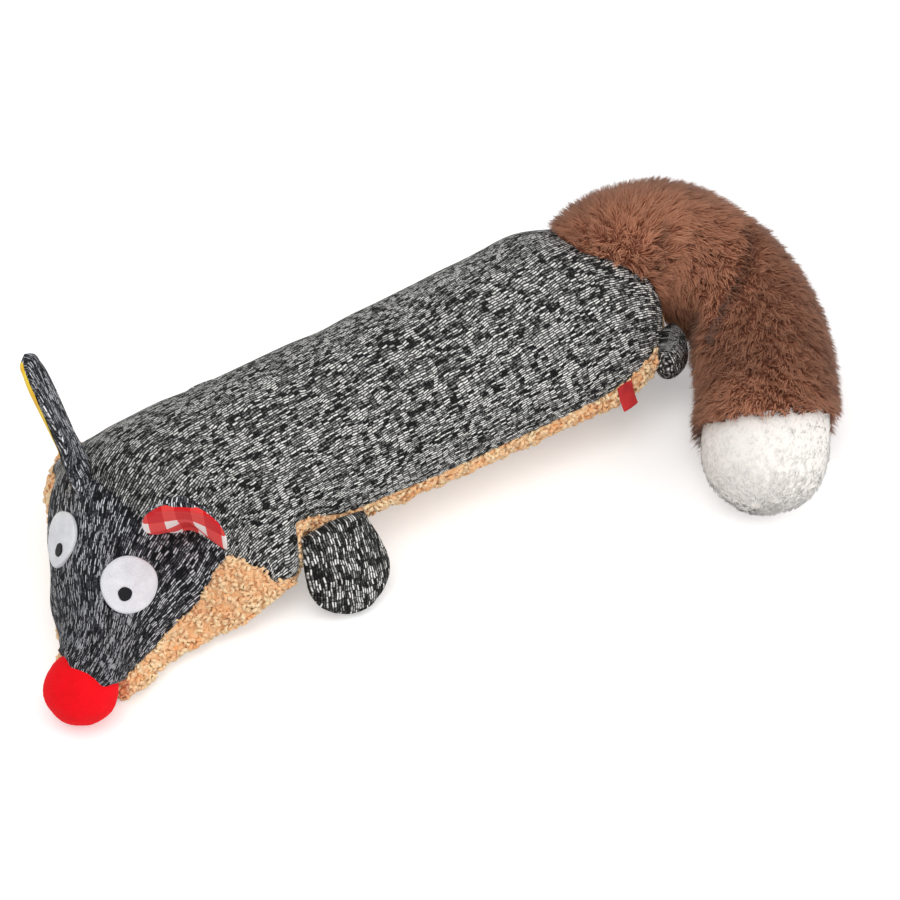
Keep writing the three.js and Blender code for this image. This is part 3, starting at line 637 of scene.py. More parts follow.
def head_way(way):
    """Direction of the head's own frame in the frame of the toy."""
    return unit(np.asarray(way, float) @ HEAD_AXES)


def paddle(rows, u, angle, round_power):
    """Flat stuffed flap: at distance u its section is a superellipse of that half width and thickness."""
    half = eased(u, rows[:, 0], rows[:, 1])
    thick = eased(u, rows[:, 0], rows[:, 2])
    c = np.cos(angle)
    s = np.sin(angle)
    y = half * np.sign(c) * np.abs(c) ** (2 / round_power)
    z = thick * np.sign(s) * np.abs(s) ** (2 / round_power)
    return np.stack([u, y, z], -1)


def rows_between(first, last):
    """Places for a paddle's rows from one distance to another, closer together towards the second."""
    return first + (last - first) * np.sin(np.linspace(0, 1, PADDLE_STEPS) * math.pi / 2) ** 0.9


def hung_axes(heading, droop):
    """Directions along, across and out of a piece that is turned to a heading and then down, in degrees."""
    turn = math.radians(heading)
    dip = math.radians(droop)
    return np.array([
        (math.cos(turn) * math.cos(dip), math.sin(turn) * math.cos(dip), -math.sin(dip)),
        (-math.sin(turn), math.cos(turn), 0),
        (math.cos(turn) * math.sin(dip), math.sin(turn) * math.sin(dip), math.cos(dip)),
    ])


def leg_grid(at, heading, droop, share, seed):
    """A leg: a paddle hung from its root, turned out to a heading and then down, with a few soft dents.
    The cloth's coordinates are the lengths along it and across it."""
    rows = rows_between(LEG_ROWS[0, 0], LEG_ROWS[-1, 0])
    u, angle = grid(rows, np.arange(56) * TAU / 56)
    flat = paddle(LEG_ROWS, u, angle, 2.0)
    flat[..., 2] += 0.35 * waves(flat + seed * 50, 16, 41 + seed) * smooth(-5, 3, u)
    flat[0, :, 1:] = 0
    flat[-1, :, 1:] = 0
    cloth = np.stack([u, flat[..., 1], 30.0 * seed + 9.0 * (np.sin(angle) < 0)], -1)
    points = np.asarray(at, float) + (flat * (share[0], share[1], 1)) @ hung_axes(heading, droop)
    points[..., 2] = np.maximum(points[..., 2], FLOOR)
    return points, cloth


def ear_axes(along, lining, roll):
    """An ear's directions: along it, across it, and out of its back, rolled about its length by an angle
    in degrees."""
    x = head_way(along)
    y = unit(np.cross(x, head_way(lining)))
    z = np.cross(x, y)
    roll = math.radians(roll)
    return np.stack([x, y * math.cos(roll) + z * math.sin(roll), z * math.cos(roll) - y * math.sin(roll)])


def ear_grid(root, axes, shape, lining=None):
    """An ear's skin, or its lining between two distances along it: a leaf-shaped paddle, broadened and
    lengthened, pinched in its middle near the root, and cupped by bending its sides towards the lining
    with a power of the distance from its middle, the two sides by different amounts and less towards the
    tip. The lining is the front half, raised a little and tucked in at its edges, and it stays short of
    a side that turns out until half way up."""
    broad, long, cup_near, cup_far = shape
    first, end = lining or (EAR_ROWS[0, 0], EAR_ROWS[-1, 0])
    rows = rows_between(first, end)
    u, turn = grid(rows, np.arange(80) / 80)
    inset = 0.12 + 0.75 * (1 - smooth(10, 40, u)) * (cup_far < 0)
    angle = turn * TAU if lining is None else math.pi + 0.12 + (math.pi - 0.12 - inset) * turn * 80 / 79
    flat = paddle(EAR_ROWS, u, angle, 2.0)
    if lining is None:
        flat[0, :, 1:] = 0
        flat[-1, :, 1:] = 0
    else:
        flat[..., 2] -= 0.7 * smooth(0.05, 0.3, np.abs(np.sin(angle))) * smooth(end, end - 2, u) - 0.3
    side = flat[..., 1] / 16
    cup = np.where(side > 0, cup_far, cup_near) * np.abs(side) ** 1.6
    flat[..., 2] -= cup * smooth(-2, 10, u) * (1 - 0.4 * smooth(15, 42, u))
    pinch = 3.4 * (cup_far > 0) * np.exp(-((flat[..., 1] / 5) ** 2))
    flat[..., 2] += pinch * smooth(-14, -8, u) * (1 - smooth(4, 34, u))
    flat[..., 0] *= long
    flat[..., 1] *= broad
    cloth = np.stack([u, flat[..., 1], 9.0 * (np.sin(angle) < 0)], -1)
    return np.asarray(root) + flat @ axes, cloth


def fitted_patch(points, middle, facing):
    """Directions in a patch of the face, and its height over their plane as a quadratic in both, fitted
    to the points of the skin near its middle."""
    out = head_way(facing)
    first = unit(np.cross(np.array([0, 0, 1.0]), out))
    second = np.cross(out, first)
    offset = points.reshape(-1, 3) - middle
    a = offset @ first
    b = offset @ second
    near = (np.hypot(a, b) < 15) & (np.abs(offset @ out) < 14)
    terms = np.stack([np.ones_like(a), a, b, a * a, a * b, b * b], -1)[near]
    height = np.linalg.lstsq(terms, (offset @ out)[near], rcond=None)[0]
    return np.stack([first, second, out]), height


def disc_grid(middle, axes, height, radius, thick, shift, wobble):
    """Cut disc of felt lying on the face: rings from the middle of its top, over a rounded edge and down
    into the face, raised over the fitted height."""
    ring, angle = grid(np.arange(len(DISC_PROFILE)), np.arange(72) * TAU / 72)
    uneven = 1 + wobble * np.sin(3 * angle + 1) + 0.6 * wobble * np.sin(5 * angle)
    reach = radius * DISC_PROFILE[ring, 0] * uneven
    a = shift[0] + reach * np.cos(angle)
    b = shift[1] + reach * np.sin(angle)
    terms = np.stack([np.ones_like(a), a, b, a * a, a * b, b * b], -1)
    z = terms @ height + thick * DISC_PROFILE[ring, 1]
    return middle + np.stack([a, b, z], -1) @ axes


def ball_grid(middle, radius, seed):
    """Felt ball: a sphere with slow dents and a fine felted skin."""
    high, angle = grid(np.linspace(-math.pi / 2, math.pi / 2, 61), np.arange(96) * TAU / 96)
    way = np.stack([np.cos(high) * np.cos(angle), np.cos(high) * np.sin(angle), np.sin(high)], -1)
    reach = radius + 0.35 * waves(way * radius, 15, seed) + 0.10 * waves(way * radius, 2.2, seed + 1)
    return np.asarray(middle) + way * reach[..., None]


def label_grid(root, heading, droop, width, length, thick):
    """Folded woven tab: a thin rounded slab that hangs from the seam and curls a little outwards at its
    end."""
    u, angle = grid(np.linspace(-0.5, length, 26), np.arange(32) * TAU / 32)
    c = np.cos(angle)
    s = np.sin(angle)
    y = width / 2 * np.sign(c) * np.abs(c) ** 0.18
    z = thick / 2 * np.sign(s) * np.abs(s) ** 0.5 * (1 - 0.3 * smooth(length - 1.2, length, u))
    z = z + 0.012 * u * u * np.where(u > 0, 1, 0) - 0.25 * (2 * y / width) ** 2 * smooth(0, 8, u)
    flat = np.stack([u, y, z], -1)
    flat[0, :, 1:] = 0
    flat[-1, :, 1] *= 0.0
    flat[-1, :, 2] = np.mean(flat[-1, :, 2])
    return np.asarray(root) + flat @ hung_axes(heading, droop), flat


# Materials

# Painted shade: share of the yarn's colour left in the gaps between stitches
KNIT_GAP_SHADE = 0.03
CLOTH_GLOSS = 0.25
# Where the knit starts to darken towards the head, over what distance and by how much
KNIT_FADE = (165.0, 70.0, 0.25)


def linear(red, green, blue):
    """Colour of a screen, 0 to 255, as the shader's linear values."""
    share = np.array([red, green, blue]) / 255
    low = share / 12.92
    high = ((share + 0.055) / 1.055) ** 2.4
    return tuple(np.where(share <= 0.04045, low, high)) + (1.0,)


def node(tree, kind, **settings):
    """New node with its settings."""
    made = tree.nodes.new(kind)
    for key, value in settings.items():
        setattr(made, key, value)
    return made


def feed(tree, socket, value):
    """Links a socket to another one, or sets its number or colour."""
    if isinstance(value, bpy.types.NodeSocket):
        tree.links.new(value, socket)
    else:
        socket.default_value = value


def calc(tree, operation, *values, clamp=False):
    """Math node on sockets or numbers."""
    made = node(tree, "ShaderNodeMath", operation=operation, use_clamp=clamp)
    for socket, value in zip(made.inputs, values):
        feed(tree, socket, value)
    return made.outputs[0]


def noise(tree, place, per_mm, detail=2.0, rough=0.5, metres=False):
    """Noise texture on a place in millimetres, or in metres."""
    made = node(tree, "ShaderNodeTexNoise")
    feed(tree, made.inputs["Vector"], place)
    made.inputs["Scale"].default_value = per_mm * (1000 if metres else 1)
    made.inputs["Detail"].default_value = detail
    made.inputs["Roughness"].default_value = rough
    return made.outputs["Fac"]


def ramp(tree, value, stops):
    """Colours at places from 0 to 1, mixed in between."""
    made = node(tree, "ShaderNodeValToRGB")
    elements = made.color_ramp.elements
    while len(elements) < len(stops):
        elements.new(0.5)
    for element, (at, colour) in zip(elements, stops):
        element.position = at
        element.color = colour
    feed(tree, made.inputs["Fac"], value)
    return made.outputs["Color"]


def mixed(tree, share, first, second, blend="MIX"):
    """Mix of two colours."""
    made = node(tree, "ShaderNodeMix", data_type="RGBA", blend_type=blend)
    feed(tree, made.inputs[0], share)
    feed(tree, made.inputs[6], first)
    feed(tree, made.inputs[7], second)
    return made.outputs[2]


def read(tree, name, vector=False):
    """A piece's own attribute."""
    made = node(tree, "ShaderNodeAttribute", attribute_name=name)
    return made.outputs["Vector" if vector else "Fac"]


def split(tree, vector):
    """The three parts of a vector."""
    made = node(tree, "ShaderNodeSeparateXYZ")
    feed(tree, made.inputs[0], vector)
    return made.outputs


def place_of(tree):
    """Object coordinates, in metres."""
    return node(tree, "ShaderNodeTexCoord").outputs["Object"]


def new_group(name, inputs, outputs):
    """Empty node group with its sockets."""
    tree = bpy.data.node_groups.new(name, "ShaderNodeTree")
    for label, kind in inputs:
        tree.interface.new_socket(label, in_out="INPUT", socket_type="NodeSocket" + kind)
    for label, kind in outputs:
        tree.interface.new_socket(label, in_out="OUTPUT", socket_type="NodeSocket" + kind)
    return tree, node(tree, "NodeGroupInput").outputs, node(tree, "NodeGroupOutput").inputs


def placed(tree, group, **values):
    """Node group in a tree, with sockets or numbers for its inputs."""
    pattern = bpy.data.node_groups.get(group) or PATTERNS[group]()
    made = node(tree, "ShaderNodeGroup", node_tree=pattern)
    for key, value in values.items():
        feed(tree, made.inputs[key], value)
    return made.outputs


def knit_stitches():
    """Group: columns of long thin stitches on cloth coordinates in millimetres. Every stitch is a dash
    in a cell of the given length and width, and a column's rows drift against the next one's. Its shade
    is random, mottled along the yarn and gathered into streaks across the columns by stretched noise,
    and its height is rounded across it and at its ends."""
    tree, inside, outside = new_group(
        "knit stitches",
        (("Cloth", "Vector"), ("Length", "Float"), ("Width", "Float")),
        (("Shade", "Float"), ("Height", "Float")),
    )
    wander = node(tree, "ShaderNodeTexNoise", noise_dimensions="3D")
    feed(tree, wander.inputs["Vector"], inside["Cloth"])
    wander.inputs["Scale"].default_value = 0.11
    shift = node(tree, "ShaderNodeVectorMath", operation="MULTIPLY_ADD")
    feed(tree, shift.inputs[0], wander.outputs["Color"])
    shift.inputs[1].default_value = (3.0, 3.0, 0)
    feed(tree, shift.inputs[2], inside["Cloth"])
    parts = split(tree, shift.outputs[0])
    lengthwise = calc(tree, "DIVIDE", parts["X"], inside["Length"])
    crosswise = calc(tree, "DIVIDE", parts["Y"], inside["Width"])
    crosswise = calc(tree, "MULTIPLY_ADD", lengthwise, 0.3, crosswise)
    column = calc(tree, "FLOOR", crosswise)
    aside = calc(tree, "SUBTRACT", calc(tree, "SUBTRACT", crosswise, column), 0.5)
    drift = node(tree, "ShaderNodeTexNoise", noise_dimensions="1D")
    feed(tree, drift.inputs["W"], column)
    drift.inputs["Scale"].default_value = 0.31
    own = node(tree, "ShaderNodeTexWhiteNoise", noise_dimensions="1D")
    feed(tree, own.inputs["W"], column)
    lengthwise = calc(tree, "MULTIPLY_ADD", drift.outputs[0], 3.0, lengthwise)
    lengthwise = calc(tree, "MULTIPLY_ADD", own.outputs["Value"], 0.22, lengthwise)
    row = calc(tree, "FLOOR", lengthwise)
    within = calc(tree, "SUBTRACT", calc(tree, "SUBTRACT", lengthwise, row), 0.5)
    cell = node(tree, "ShaderNodeCombineXYZ")
    feed(tree, cell.inputs[0], column)
    feed(tree, cell.inputs[1], row)
    feed(tree, cell.inputs[2], parts["Z"])
    chance = node(tree, "ShaderNodeTexWhiteNoise", noise_dimensions="3D")
    feed(tree, chance.inputs["Vector"], cell.outputs[0])
    side = calc(tree, "SUBTRACT", 1.0, calc(tree, "ABSOLUTE", calc(tree, "MULTIPLY", aside, 2.0)))
    side = calc(tree, "MULTIPLY_ADD", side, 2.1, -0.55, clamp=True)
    end = calc(tree, "SUBTRACT", 1.0, calc(tree, "ABSOLUTE", calc(tree, "MULTIPLY", within, 2.0)))
    end = calc(tree, "MULTIPLY", end, 3.2, clamp=True)
    height = calc(tree, "MULTIPLY", side, end, clamp=True)
    yarn = calc(tree, "SUBTRACT", noise(tree, inside["Cloth"], 0.8, 2.0, 0.6), 0.5)
    stretch = node(tree, "ShaderNodeVectorMath", operation="MULTIPLY")
    feed(tree, stretch.inputs[0], inside["Cloth"])
    stretch.inputs[1].default_value = (0.24, 0.07, 1.0)
    streaks = calc(tree, "SUBTRACT", noise(tree, stretch.outputs[0], 1.0, 3.0, 0.65), 0.5)
    shade = calc(tree, "MULTIPLY_ADD", calc(tree, "SUBTRACT", chance.outputs["Value"], 0.5), 0.82, 0.5)
    shade = calc(tree, "MULTIPLY_ADD", yarn, 0.9, shade)
    shade = calc(tree, "MULTIPLY_ADD", streaks, 0.8, shade, clamp=True)
    feed(tree, outside["Shade"], shade)
    feed(tree, outside["Height"], height)
    return tree


def felted():
    """Group: matted fibres on object coordinates in metres, as a fine tone and a height."""
    tree, inside, outside = new_group(
        "felted", (("Place", "Vector"), ("Fineness", "Float")), (("Tone", "Float"), ("Height", "Float"))
    )
    spread = node(tree, "ShaderNodeVectorMath", operation="SCALE")
    feed(tree, spread.inputs[0], inside["Place"])
    feed(tree, spread.inputs["Scale"], inside["Fineness"])
    fine = noise(tree, spread.outputs[0], 1.6, 4.0, 0.7)
    broad = noise(tree, spread.outputs[0], 0.18, 2.0, 0.5)
    feed(tree, outside["Tone"], calc(tree, "MULTIPLY_ADD", fine, 0.6, calc(tree, "MULTIPLY", broad, 0.4)))
    feed(tree, outside["Height"], fine)
    return tree


PATTERNS = {"knit stitches": knit_stitches, "felted": felted}


def finish_material(made, colour, roughness, height=None, strength=0.4, reach=0.0006, sheen=0.0):
    """Started material with one Principled shader: colour and roughness from sockets or values, a bump
    from a height socket, and even sheen and gloss set on the shader."""
    tree = made.node_tree
    shader = tree.nodes["Principled BSDF"]
    feed(tree, shader.inputs["Base Color"], colour)
    feed(tree, shader.inputs["Roughness"], roughness)
    shader.inputs["Sheen Weight"].default_value = sheen
    shader.inputs["Sheen Roughness"].default_value = 0.5
    shader.inputs["Specular IOR Level"].default_value = CLOTH_GLOSS
    if height is not None:
        bump = node(tree, "ShaderNodeBump")
        bump.inputs["Strength"].default_value = strength
        bump.inputs["Distance"].default_value = reach
        feed(tree, bump.inputs["Height"], height)
        feed(tree, shader.inputs["Normal"], bump.outputs["Normal"])
    return made


def started(name):
    """New material and its node tree."""
    made = bpy.data.materials.new(name)
    made.use_nodes = True
    return made, made.node_tree


def knit_material(name, dark, middle, light):
    """Marled knit: stitches from nearly black to white yarn, with painted shade in the gaps between them,
    and darker towards the head."""
    made, tree = started(name)
    stitch = placed(
        tree, "knit stitches", Cloth=read(tree, "cloth", True), Length=fox().stitch_length / MM,
        Width=fox().stitch_width / MM
    )
    yarn = ramp(tree, stitch["Shade"], ((0.18, dark), (0.5, middle), (0.82, light)))
    # Painted shade: the yarn's colour is darkened in the gaps between stitches, and also towards the head
    depth = calc(tree, "MULTIPLY_ADD", stitch["Height"], 1.0 - KNIT_GAP_SHADE, KNIT_GAP_SHADE)
    parts = split(tree, read(tree, "cloth", True))
    near = calc(
        tree, "DIVIDE", calc(tree, "SUBTRACT", parts["X"], KNIT_FADE[0]), KNIT_FADE[1], clamp=True
    )
    depth = calc(tree, "MULTIPLY", depth, calc(tree, "MULTIPLY_ADD", near, -KNIT_FADE[2], 1.0))
    colour = mixed(tree, 1.0, yarn, ramp(tree, depth, ((0, (0, 0, 0, 1)), (1, (1, 1, 1, 1)))), "MULTIPLY")
    rough = calc(tree, "MULTIPLY_ADD", stitch["Shade"], -0.15, 0.95)
    return finish_material(made, colour, rough, stitch["Height"], 0.5, 0.0007)


def fleece_material(name):
    """Curly fleece: apricot, in a cloudy tone of slow and fine noise."""
    made, tree = started(name)
    here = place_of(tree)
    cloud = noise(tree, here, 0.16, 3.0, 0.6, metres=True)
    fibre = noise(tree, here, 1.1, 3.0, 0.7, metres=True)
    tone = calc(tree, "MULTIPLY_ADD", cloud, 0.6, calc(tree, "MULTIPLY", fibre, 0.45))
    deep = colour_of(fox().fleece_deep)
    pale = colour_of(fox().fleece_pale)
    colour = ramp(tree, tone, ((0.3, deep), (0.72, pale)))
    return finish_material(
        made, colour, calc(tree, "MULTIPLY_ADD", fibre, 0.1, 0.86), fibre, 0.6, 0.001, sheen=0.25
    )


def tuft_material(name):
    """Tufts of the fleece: each of its own tone, paler towards its free end."""
    made, tree = started(name)
    tone = calc(tree, "MULTIPLY_ADD", read(tree, "along"), 0.18, read(tree, "tone"))
    deep = colour_of(fox().fleece_deep)
    pale = colour_of(fox().fleece_pale)
    colour = ramp(tree, tone, ((0.12, deep), (0.78, pale)))
    return finish_material(made, colour, calc(tree, "MULTIPLY_ADD", tone, 0.1, 0.8), sheen=0.25)


def fur_material(name, root, middle, tip, least):
    """Hairs: dark at the root and paler at the tip, each with its own tone, painted shade in the folds
    included, down to the least share of the colour."""
    made, tree = started(name)
    along = ramp(tree, read(tree, "along"), ((0.0, root), (0.45, middle), (1.0, tip)))
    own = ramp(tree, read(tree, "tone"), ((0.0, (least, least, least, 1)), (1.0, (1, 1, 1, 1))))
    colour = mixed(tree, 1.0, along, own, "MULTIPLY")
    return finish_material(
        made, colour, calc(tree, "MULTIPLY_ADD", read(tree, "along"), -0.12, 0.72), sheen=0.1
    )


def felt_material(name, dark, light, fineness, strength, sheen):
    """Felt: a cloudy tone of matted fibres."""
    made, tree = started(name)
    felt = placed(tree, "felted", Place=place_of(tree), Fineness=fineness)
    colour = ramp(tree, felt["Tone"], ((0.32, dark), (0.66, light)))
    return finish_material(
        made, colour, calc(tree, "MULTIPLY_ADD", felt["Tone"], 0.1, 0.84), felt["Height"], strength,
        0.0004, sheen
    )


def woven(tree, threads):
    """Height of a plain weave on cloth coordinates: the product of two fine waves."""
    wave = node(tree, "ShaderNodeVectorMath", operation="SCALE")
    feed(tree, wave.inputs[0], read(tree, "cloth", True))
    wave.inputs["Scale"].default_value = TAU * threads
    parts = split(tree, wave.outputs[0])
    return calc(
        tree, "MULTIPLY", calc(tree, "SINE", parts["X"]), calc(tree, "SINE", parts["Y"])
    )


def check_material(name, square):
    """Red and white checked cotton: two sets of bands that cross, red where both lie and white where
    neither does."""
    made, tree = started(name)
    parts = split(tree, read(tree, "cloth", True))
    bands = []
    for way, offset, size in (("X", 2.0, 2.6 * square), ("Y", 3.0, square)):
        turn = calc(
            tree, "FRACT",
            calc(tree, "DIVIDE", calc(tree, "ADD", parts[way], 100.0 * size + offset), 2 * size)
        )
        bands.append(calc(tree, "LESS_THAN", turn, 0.56))
    both = calc(tree, "MULTIPLY", calc(tree, "ADD", bands[0], bands[1]), 0.5)
    colour = ramp(
        tree, both, ((0.1, linear(248, 236, 234)), (0.4, linear(238, 70, 66)), (0.9, linear(214, 14, 24)))
    )
    return finish_material(
        made, colour, calc(tree, "MULTIPLY_ADD", both, 0.06, 0.8), woven(tree, 1.1), 0.25, 0.0003, 0.1
    )


def plain_cloth(name, dark, light, threads, strength):
    """Plain woven cloth: a slow tone and a fine weave."""
    made, tree = started(name)
    tone = noise(tree, place_of(tree), 0.12, 2.0, 0.5, metres=True)
    colour = ramp(tree, tone, ((0.3, dark), (0.7, light)))
    return finish_material(
        made, colour, calc(tree, "MULTIPLY_ADD", tone, 0.1, 0.72), woven(tree, threads), strength, 0.0003,
        0.1
    )


def plastic_material(name):
    """Milky squeaker plastic with slow clouds and a slightly uneven gloss."""
    made, tree = started(name)
    cloud = noise(tree, place_of(tree), 0.09, 3.0, 0.55, metres=True)
    colour = ramp(tree, cloud, ((0.3, linear(214, 220, 224)), (0.7, linear(238, 241, 243))))
    return finish_material(made, colour, calc(tree, "MULTIPLY_ADD", cloud, 0.2, 0.32), cloud, 0.1, 0.0003)


def floor_material(name, glow):
    """White floor: matt, and brightened for the camera alone so that it reads white away from the
    shadow."""
    made, tree = started(name)
    shader = tree.nodes["Principled BSDF"]
    shader.inputs["Base Color"].default_value = (0.9, 0.9, 0.9, 1)
    shader.inputs["Roughness"].default_value = 1.0
    shader.inputs["Specular IOR Level"].default_value = 0.0
    shine = node(tree, "ShaderNodeEmission")
    seen = calc(tree, "MULTIPLY", node(tree, "ShaderNodeLightPath").outputs["Is Camera Ray"], glow)
    feed(tree, shine.inputs["Strength"], seen)
    both = node(tree, "ShaderNodeAddShader")
    feed(tree, both.inputs[0], shader.outputs[0])
    feed(tree, both.inputs[1], shine.outputs[0])
    feed(tree, tree.nodes["Material Output"].inputs["Surface"], both.outputs[0])
    return made


def set_world(scene, sky):
    """Even light from all round, white where it is seen directly, in a reflection or through a piece."""
    world = bpy.data.worlds.new("world")
    world.use_nodes = True
    tree = world.node_tree
    light = tree.nodes["Background"]
    light.inputs["Color"].default_value = (1, 1, 1, 1)
    path = node(tree, "ShaderNodeLightPath").outputs
    direct = calc(
        tree, "MAXIMUM", path["Is Camera Ray"],
        calc(tree, "MAXIMUM", path["Is Glossy Ray"], path["Is Transmission Ray"])
    )
    feed(tree, light.inputs["Strength"], calc(tree, "MULTIPLY_ADD", direct, 1.0 - sky, sky))
    scene.world = world


# Pieces on the frame

# A leg's root, its heading and droop in degrees, and its length and width against its solid's
LEGS = {
    "leg_front_left": ((-62, -55.73, 34), -90, 57, (1, 1)),
    "leg_front_right": ((-62, 55.73, 30.5), 90, 55, (0.96, 0.96)),
    "leg_rear_left": ((132.4, -41.9, 42), -46, 82, (0.46, 0.66)),
    "leg_rear_right": ((125.2, 49.25, 37), 56, 66, (1, 1)),
}
# An ear's root on the head, its directions along and out of the lining, its roll, how much broader and
# longer than its solid it is drawn, how far its two sides are cupped, and where its lining starts and ends
EAR_LEFT = (
    (23.25, 32.85, 62.5), (0.488, 0.197, 0.85), (0.832, 0.337, -0.439), 0, (1.14, 1, 6, 14), (-14, 48.0)
)
EAR_RIGHT = (
    (14.31, -26.97, 72.54), (-0.258, -0.524, 0.811), (0.459, -0.806, -0.373), -4, (1.22, 1.08, 3, -6),
    (-10, 48)
)
# An eye's middle on the head, the way it faces and where its pupil is sewn
EYES = (
    ("left", (51.7, 16, 45.8), (0.62, 0.38, 0.69), (-2.3, -3.7)),
    ("right", (39.3, -23.3, 46.5), (0.6, -0.42, 0.68), (5.0, -2.5)),
)
EYE_RADIUS = 12.7
PUPIL_RADIUS = 3.1
NOSE = (93, 10.6, 17.6)
NOSE_RADIUS = 16.4
LABEL_ROOT = (98.0, -54.3, 42.0)
# The tab's heading and droop in degrees, and its width, length and thickness
LABEL_HANG = (-78.2, 76)
LABEL_SIZE = (9.2, 13, 1.0)
# Settings of each knit's dark, middle and light yarn; the legs' darker middle yarn is painted shade
KNITS = {
    "knit body": ("knit_dark", "knit_middle", "knit_light"),
    "knit leg": ("knit_dark", "leg_shaded_middle", "knit_light"),
    "knit head": ("mask_dark", "mask_middle", "mask_light"),
}
# The camera's target, its directions to the right and up, its distance and its lens
TARGET = Vector((0.008, -0.043, 0.038))
CAMERA_RIGHT = Vector((0.8387, -0.5446, 0))
CAMERA_UP = Vector((0.3851, 0.5930, 0.7071))
CAMERA_AWAY = 1.6
LENS = 139.1
# Half the floor's width
FLOOR_REACH = 6000.0


def fox():
    """Settings of the fox in this scene."""
    return bpy.context.scene.fox


def colour_of(value):
    """Setting's colour with full opacity."""
    return tuple(value) + (1.0,)


def material(name, maker, *values):
    """The material of that name, made the first time it is asked for."""
    return bpy.data.materials.get(name) or maker(name, *values)


def closed(obj, middle):
    """Joins the points that fall together, at poles and drawn-in ends, and turns the faces away from the
    middle."""
    work = bmesh.new()
    work.from_mesh(obj.data)
    bmesh.ops.remove_doubles(work, verts=work.verts, dist=1e-6)
    work.to_mesh(obj.data)
    work.free()
    faces = obj.data.polygons
    normals = np.empty(len(faces) * 3, np.float32)
    centres = np.empty(len(faces) * 3, np.float32)
    areas = np.empty(len(faces), np.float32)
    faces.foreach_get("normal", normals)
    faces.foreach_get("center", centres)
    faces.foreach_get("area", areas)
    away = centres.reshape(-1, 3) - np.asarray(middle) * MM
    if np.sum(np.sum(normals.reshape(-1, 3) * away, -1) * areas) < 0:
        obj.data.flip_normals()
    return obj


def dressed(obj, paint, nodes=()):
    """Gives a piece its material and slot, and hides the solids it stands for."""
    obj.data.materials.append(paint)
    if nodes:
        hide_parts(*nodes)
    return obj


def knit_paint(name):
    """Knit of the body, the legs' copy of it darkened as painted shade, or the bluish one of the head."""
    return material(name, knit_material, *(colour_of(getattr(fox(), yarn)) for yarn in KNITS[name]))


class FoxSettings(bpy.types.PropertyGroup):
    """Sizes, counts, colours and lights of the fox."""

    stitch_length: bpy.props.FloatProperty(
        name="Stitch length", description="Length of one stitch of the knit", default=0.0031, min=0.001,
        unit="LENGTH", precision=4
    )
    stitch_width: bpy.props.FloatProperty(
        name="Stitch width", description="Width of one column of stitches", default=0.00112, min=0.0005,
        unit="LENGTH", precision=4
    )
    knit_dark: bpy.props.FloatVectorProperty(
        name="Dark yarn", description="Darkest yarn of the body", default=linear(26, 26, 26)[:3], size=3,
        subtype="COLOR"
    )
    knit_middle: bpy.props.FloatVectorProperty(
        name="Grey yarn", description="Middle yarn of the body", default=linear(170, 170, 168)[:3], size=3,
        subtype="COLOR"
    )
    knit_light: bpy.props.FloatVectorProperty(
        name="Light yarn", description="Lightest yarn of the body", default=linear(255, 254, 250)[:3],
        size=3, subtype="COLOR"
    )
    # Painted shade: the legs' middle yarn is the body's grey darkened
    leg_shaded_middle: bpy.props.FloatVectorProperty(
        name="Grey leg yarn", description="Middle yarn of the legs", default=linear(100, 100, 98)[:3],
        size=3, subtype="COLOR"
    )
    mask_dark: bpy.props.FloatVectorProperty(
        name="Dark mask yarn", description="Darkest yarn of the head", default=linear(18, 19, 23)[:3],
        size=3, subtype="COLOR"
    )
    mask_middle: bpy.props.FloatVectorProperty(
        name="Grey mask yarn", description="Middle yarn of the head", default=linear(92, 94, 101)[:3],
        size=3, subtype="COLOR"
    )
    mask_light: bpy.props.FloatVectorProperty(
        name="Light mask yarn", description="Lightest yarn of the head", default=linear(248, 249, 255)[:3],
        size=3, subtype="COLOR"
    )
    fleece_deep: bpy.props.FloatVectorProperty(
        name="Deep fleece", description="Fleece between the tufts", default=linear(250, 172, 104)[:3],
        size=3, subtype="COLOR"
    )
    fleece_pale: bpy.props.FloatVectorProperty(
        name="Pale fleece", description="Fleece at the tips of the tufts",
        default=linear(255, 227, 183)[:3], size=3, subtype="COLOR"
    )
    curls: bpy.props.IntProperty(
        name="Curls", description="Tufts in each of the two lots on the fleece", default=5000, min=1,
        max=6000
    )
    brown_hairs: bpy.props.IntProperty(
        name="Brown hairs", description="Hairs in each of the three lengths of brown fur", default=16000,
        min=1, max=19000
    )
    brown_length: bpy.props.FloatProperty(
        name="Brown hair", description="Length of a brown hair", default=0.0095, min=0.001, unit="LENGTH",
        precision=4
    )
    white_hairs: bpy.props.IntProperty(
        name="White hairs", description="Hairs of the white tip", default=6500, min=1, max=19000
    )
    white_length: bpy.props.FloatProperty(
        name="White hair", description="Length of a white hair", default=0.0028, min=0.001, unit="LENGTH",
        precision=4
    )
    key_power: bpy.props.FloatProperty(
        name="Key light", description="Power of the large light", default=10, min=0, unit="POWER"
    )
    fill_power: bpy.props.FloatProperty(
        name="Fill light", description="Power of the light at the front", default=8, min=0, unit="POWER"
    )
    sky: bpy.props.FloatProperty(
        name="Sky", description="Strength of the light from all round", default=0.62, min=0
    )
    floor_glow: bpy.props.FloatProperty(
        name="Floor glow", description="Light the floor adds for the camera so that it reads white",
        default=0.35, min=0
    )


# Operators


class FOX_OT_back(bpy.types.Operator):
    """Draws the knit of the back and the mask."""

    bl_idname = "fox.back"
    bl_label = "Back and mask"

    def execute(self, context):
        points, cloth = back_grid()
        back = closed(sheet_object("back_knit", points, vectors={"cloth": cloth}), (0, 0, 30))
        dressed(back, knit_paint("knit body"), ("back_cover", "front_filling", "rear_filling"))
        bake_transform(back)
        points, cloth = mask_grid()
        mask = closed(sheet_object("mask_knit", points, vectors={"cloth": cloth}), on_head((30, 0, 20)))
        dressed(mask, knit_paint("knit head"), ("head_mask", "head_filling"))
        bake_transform(mask)
        return {"FINISHED"}


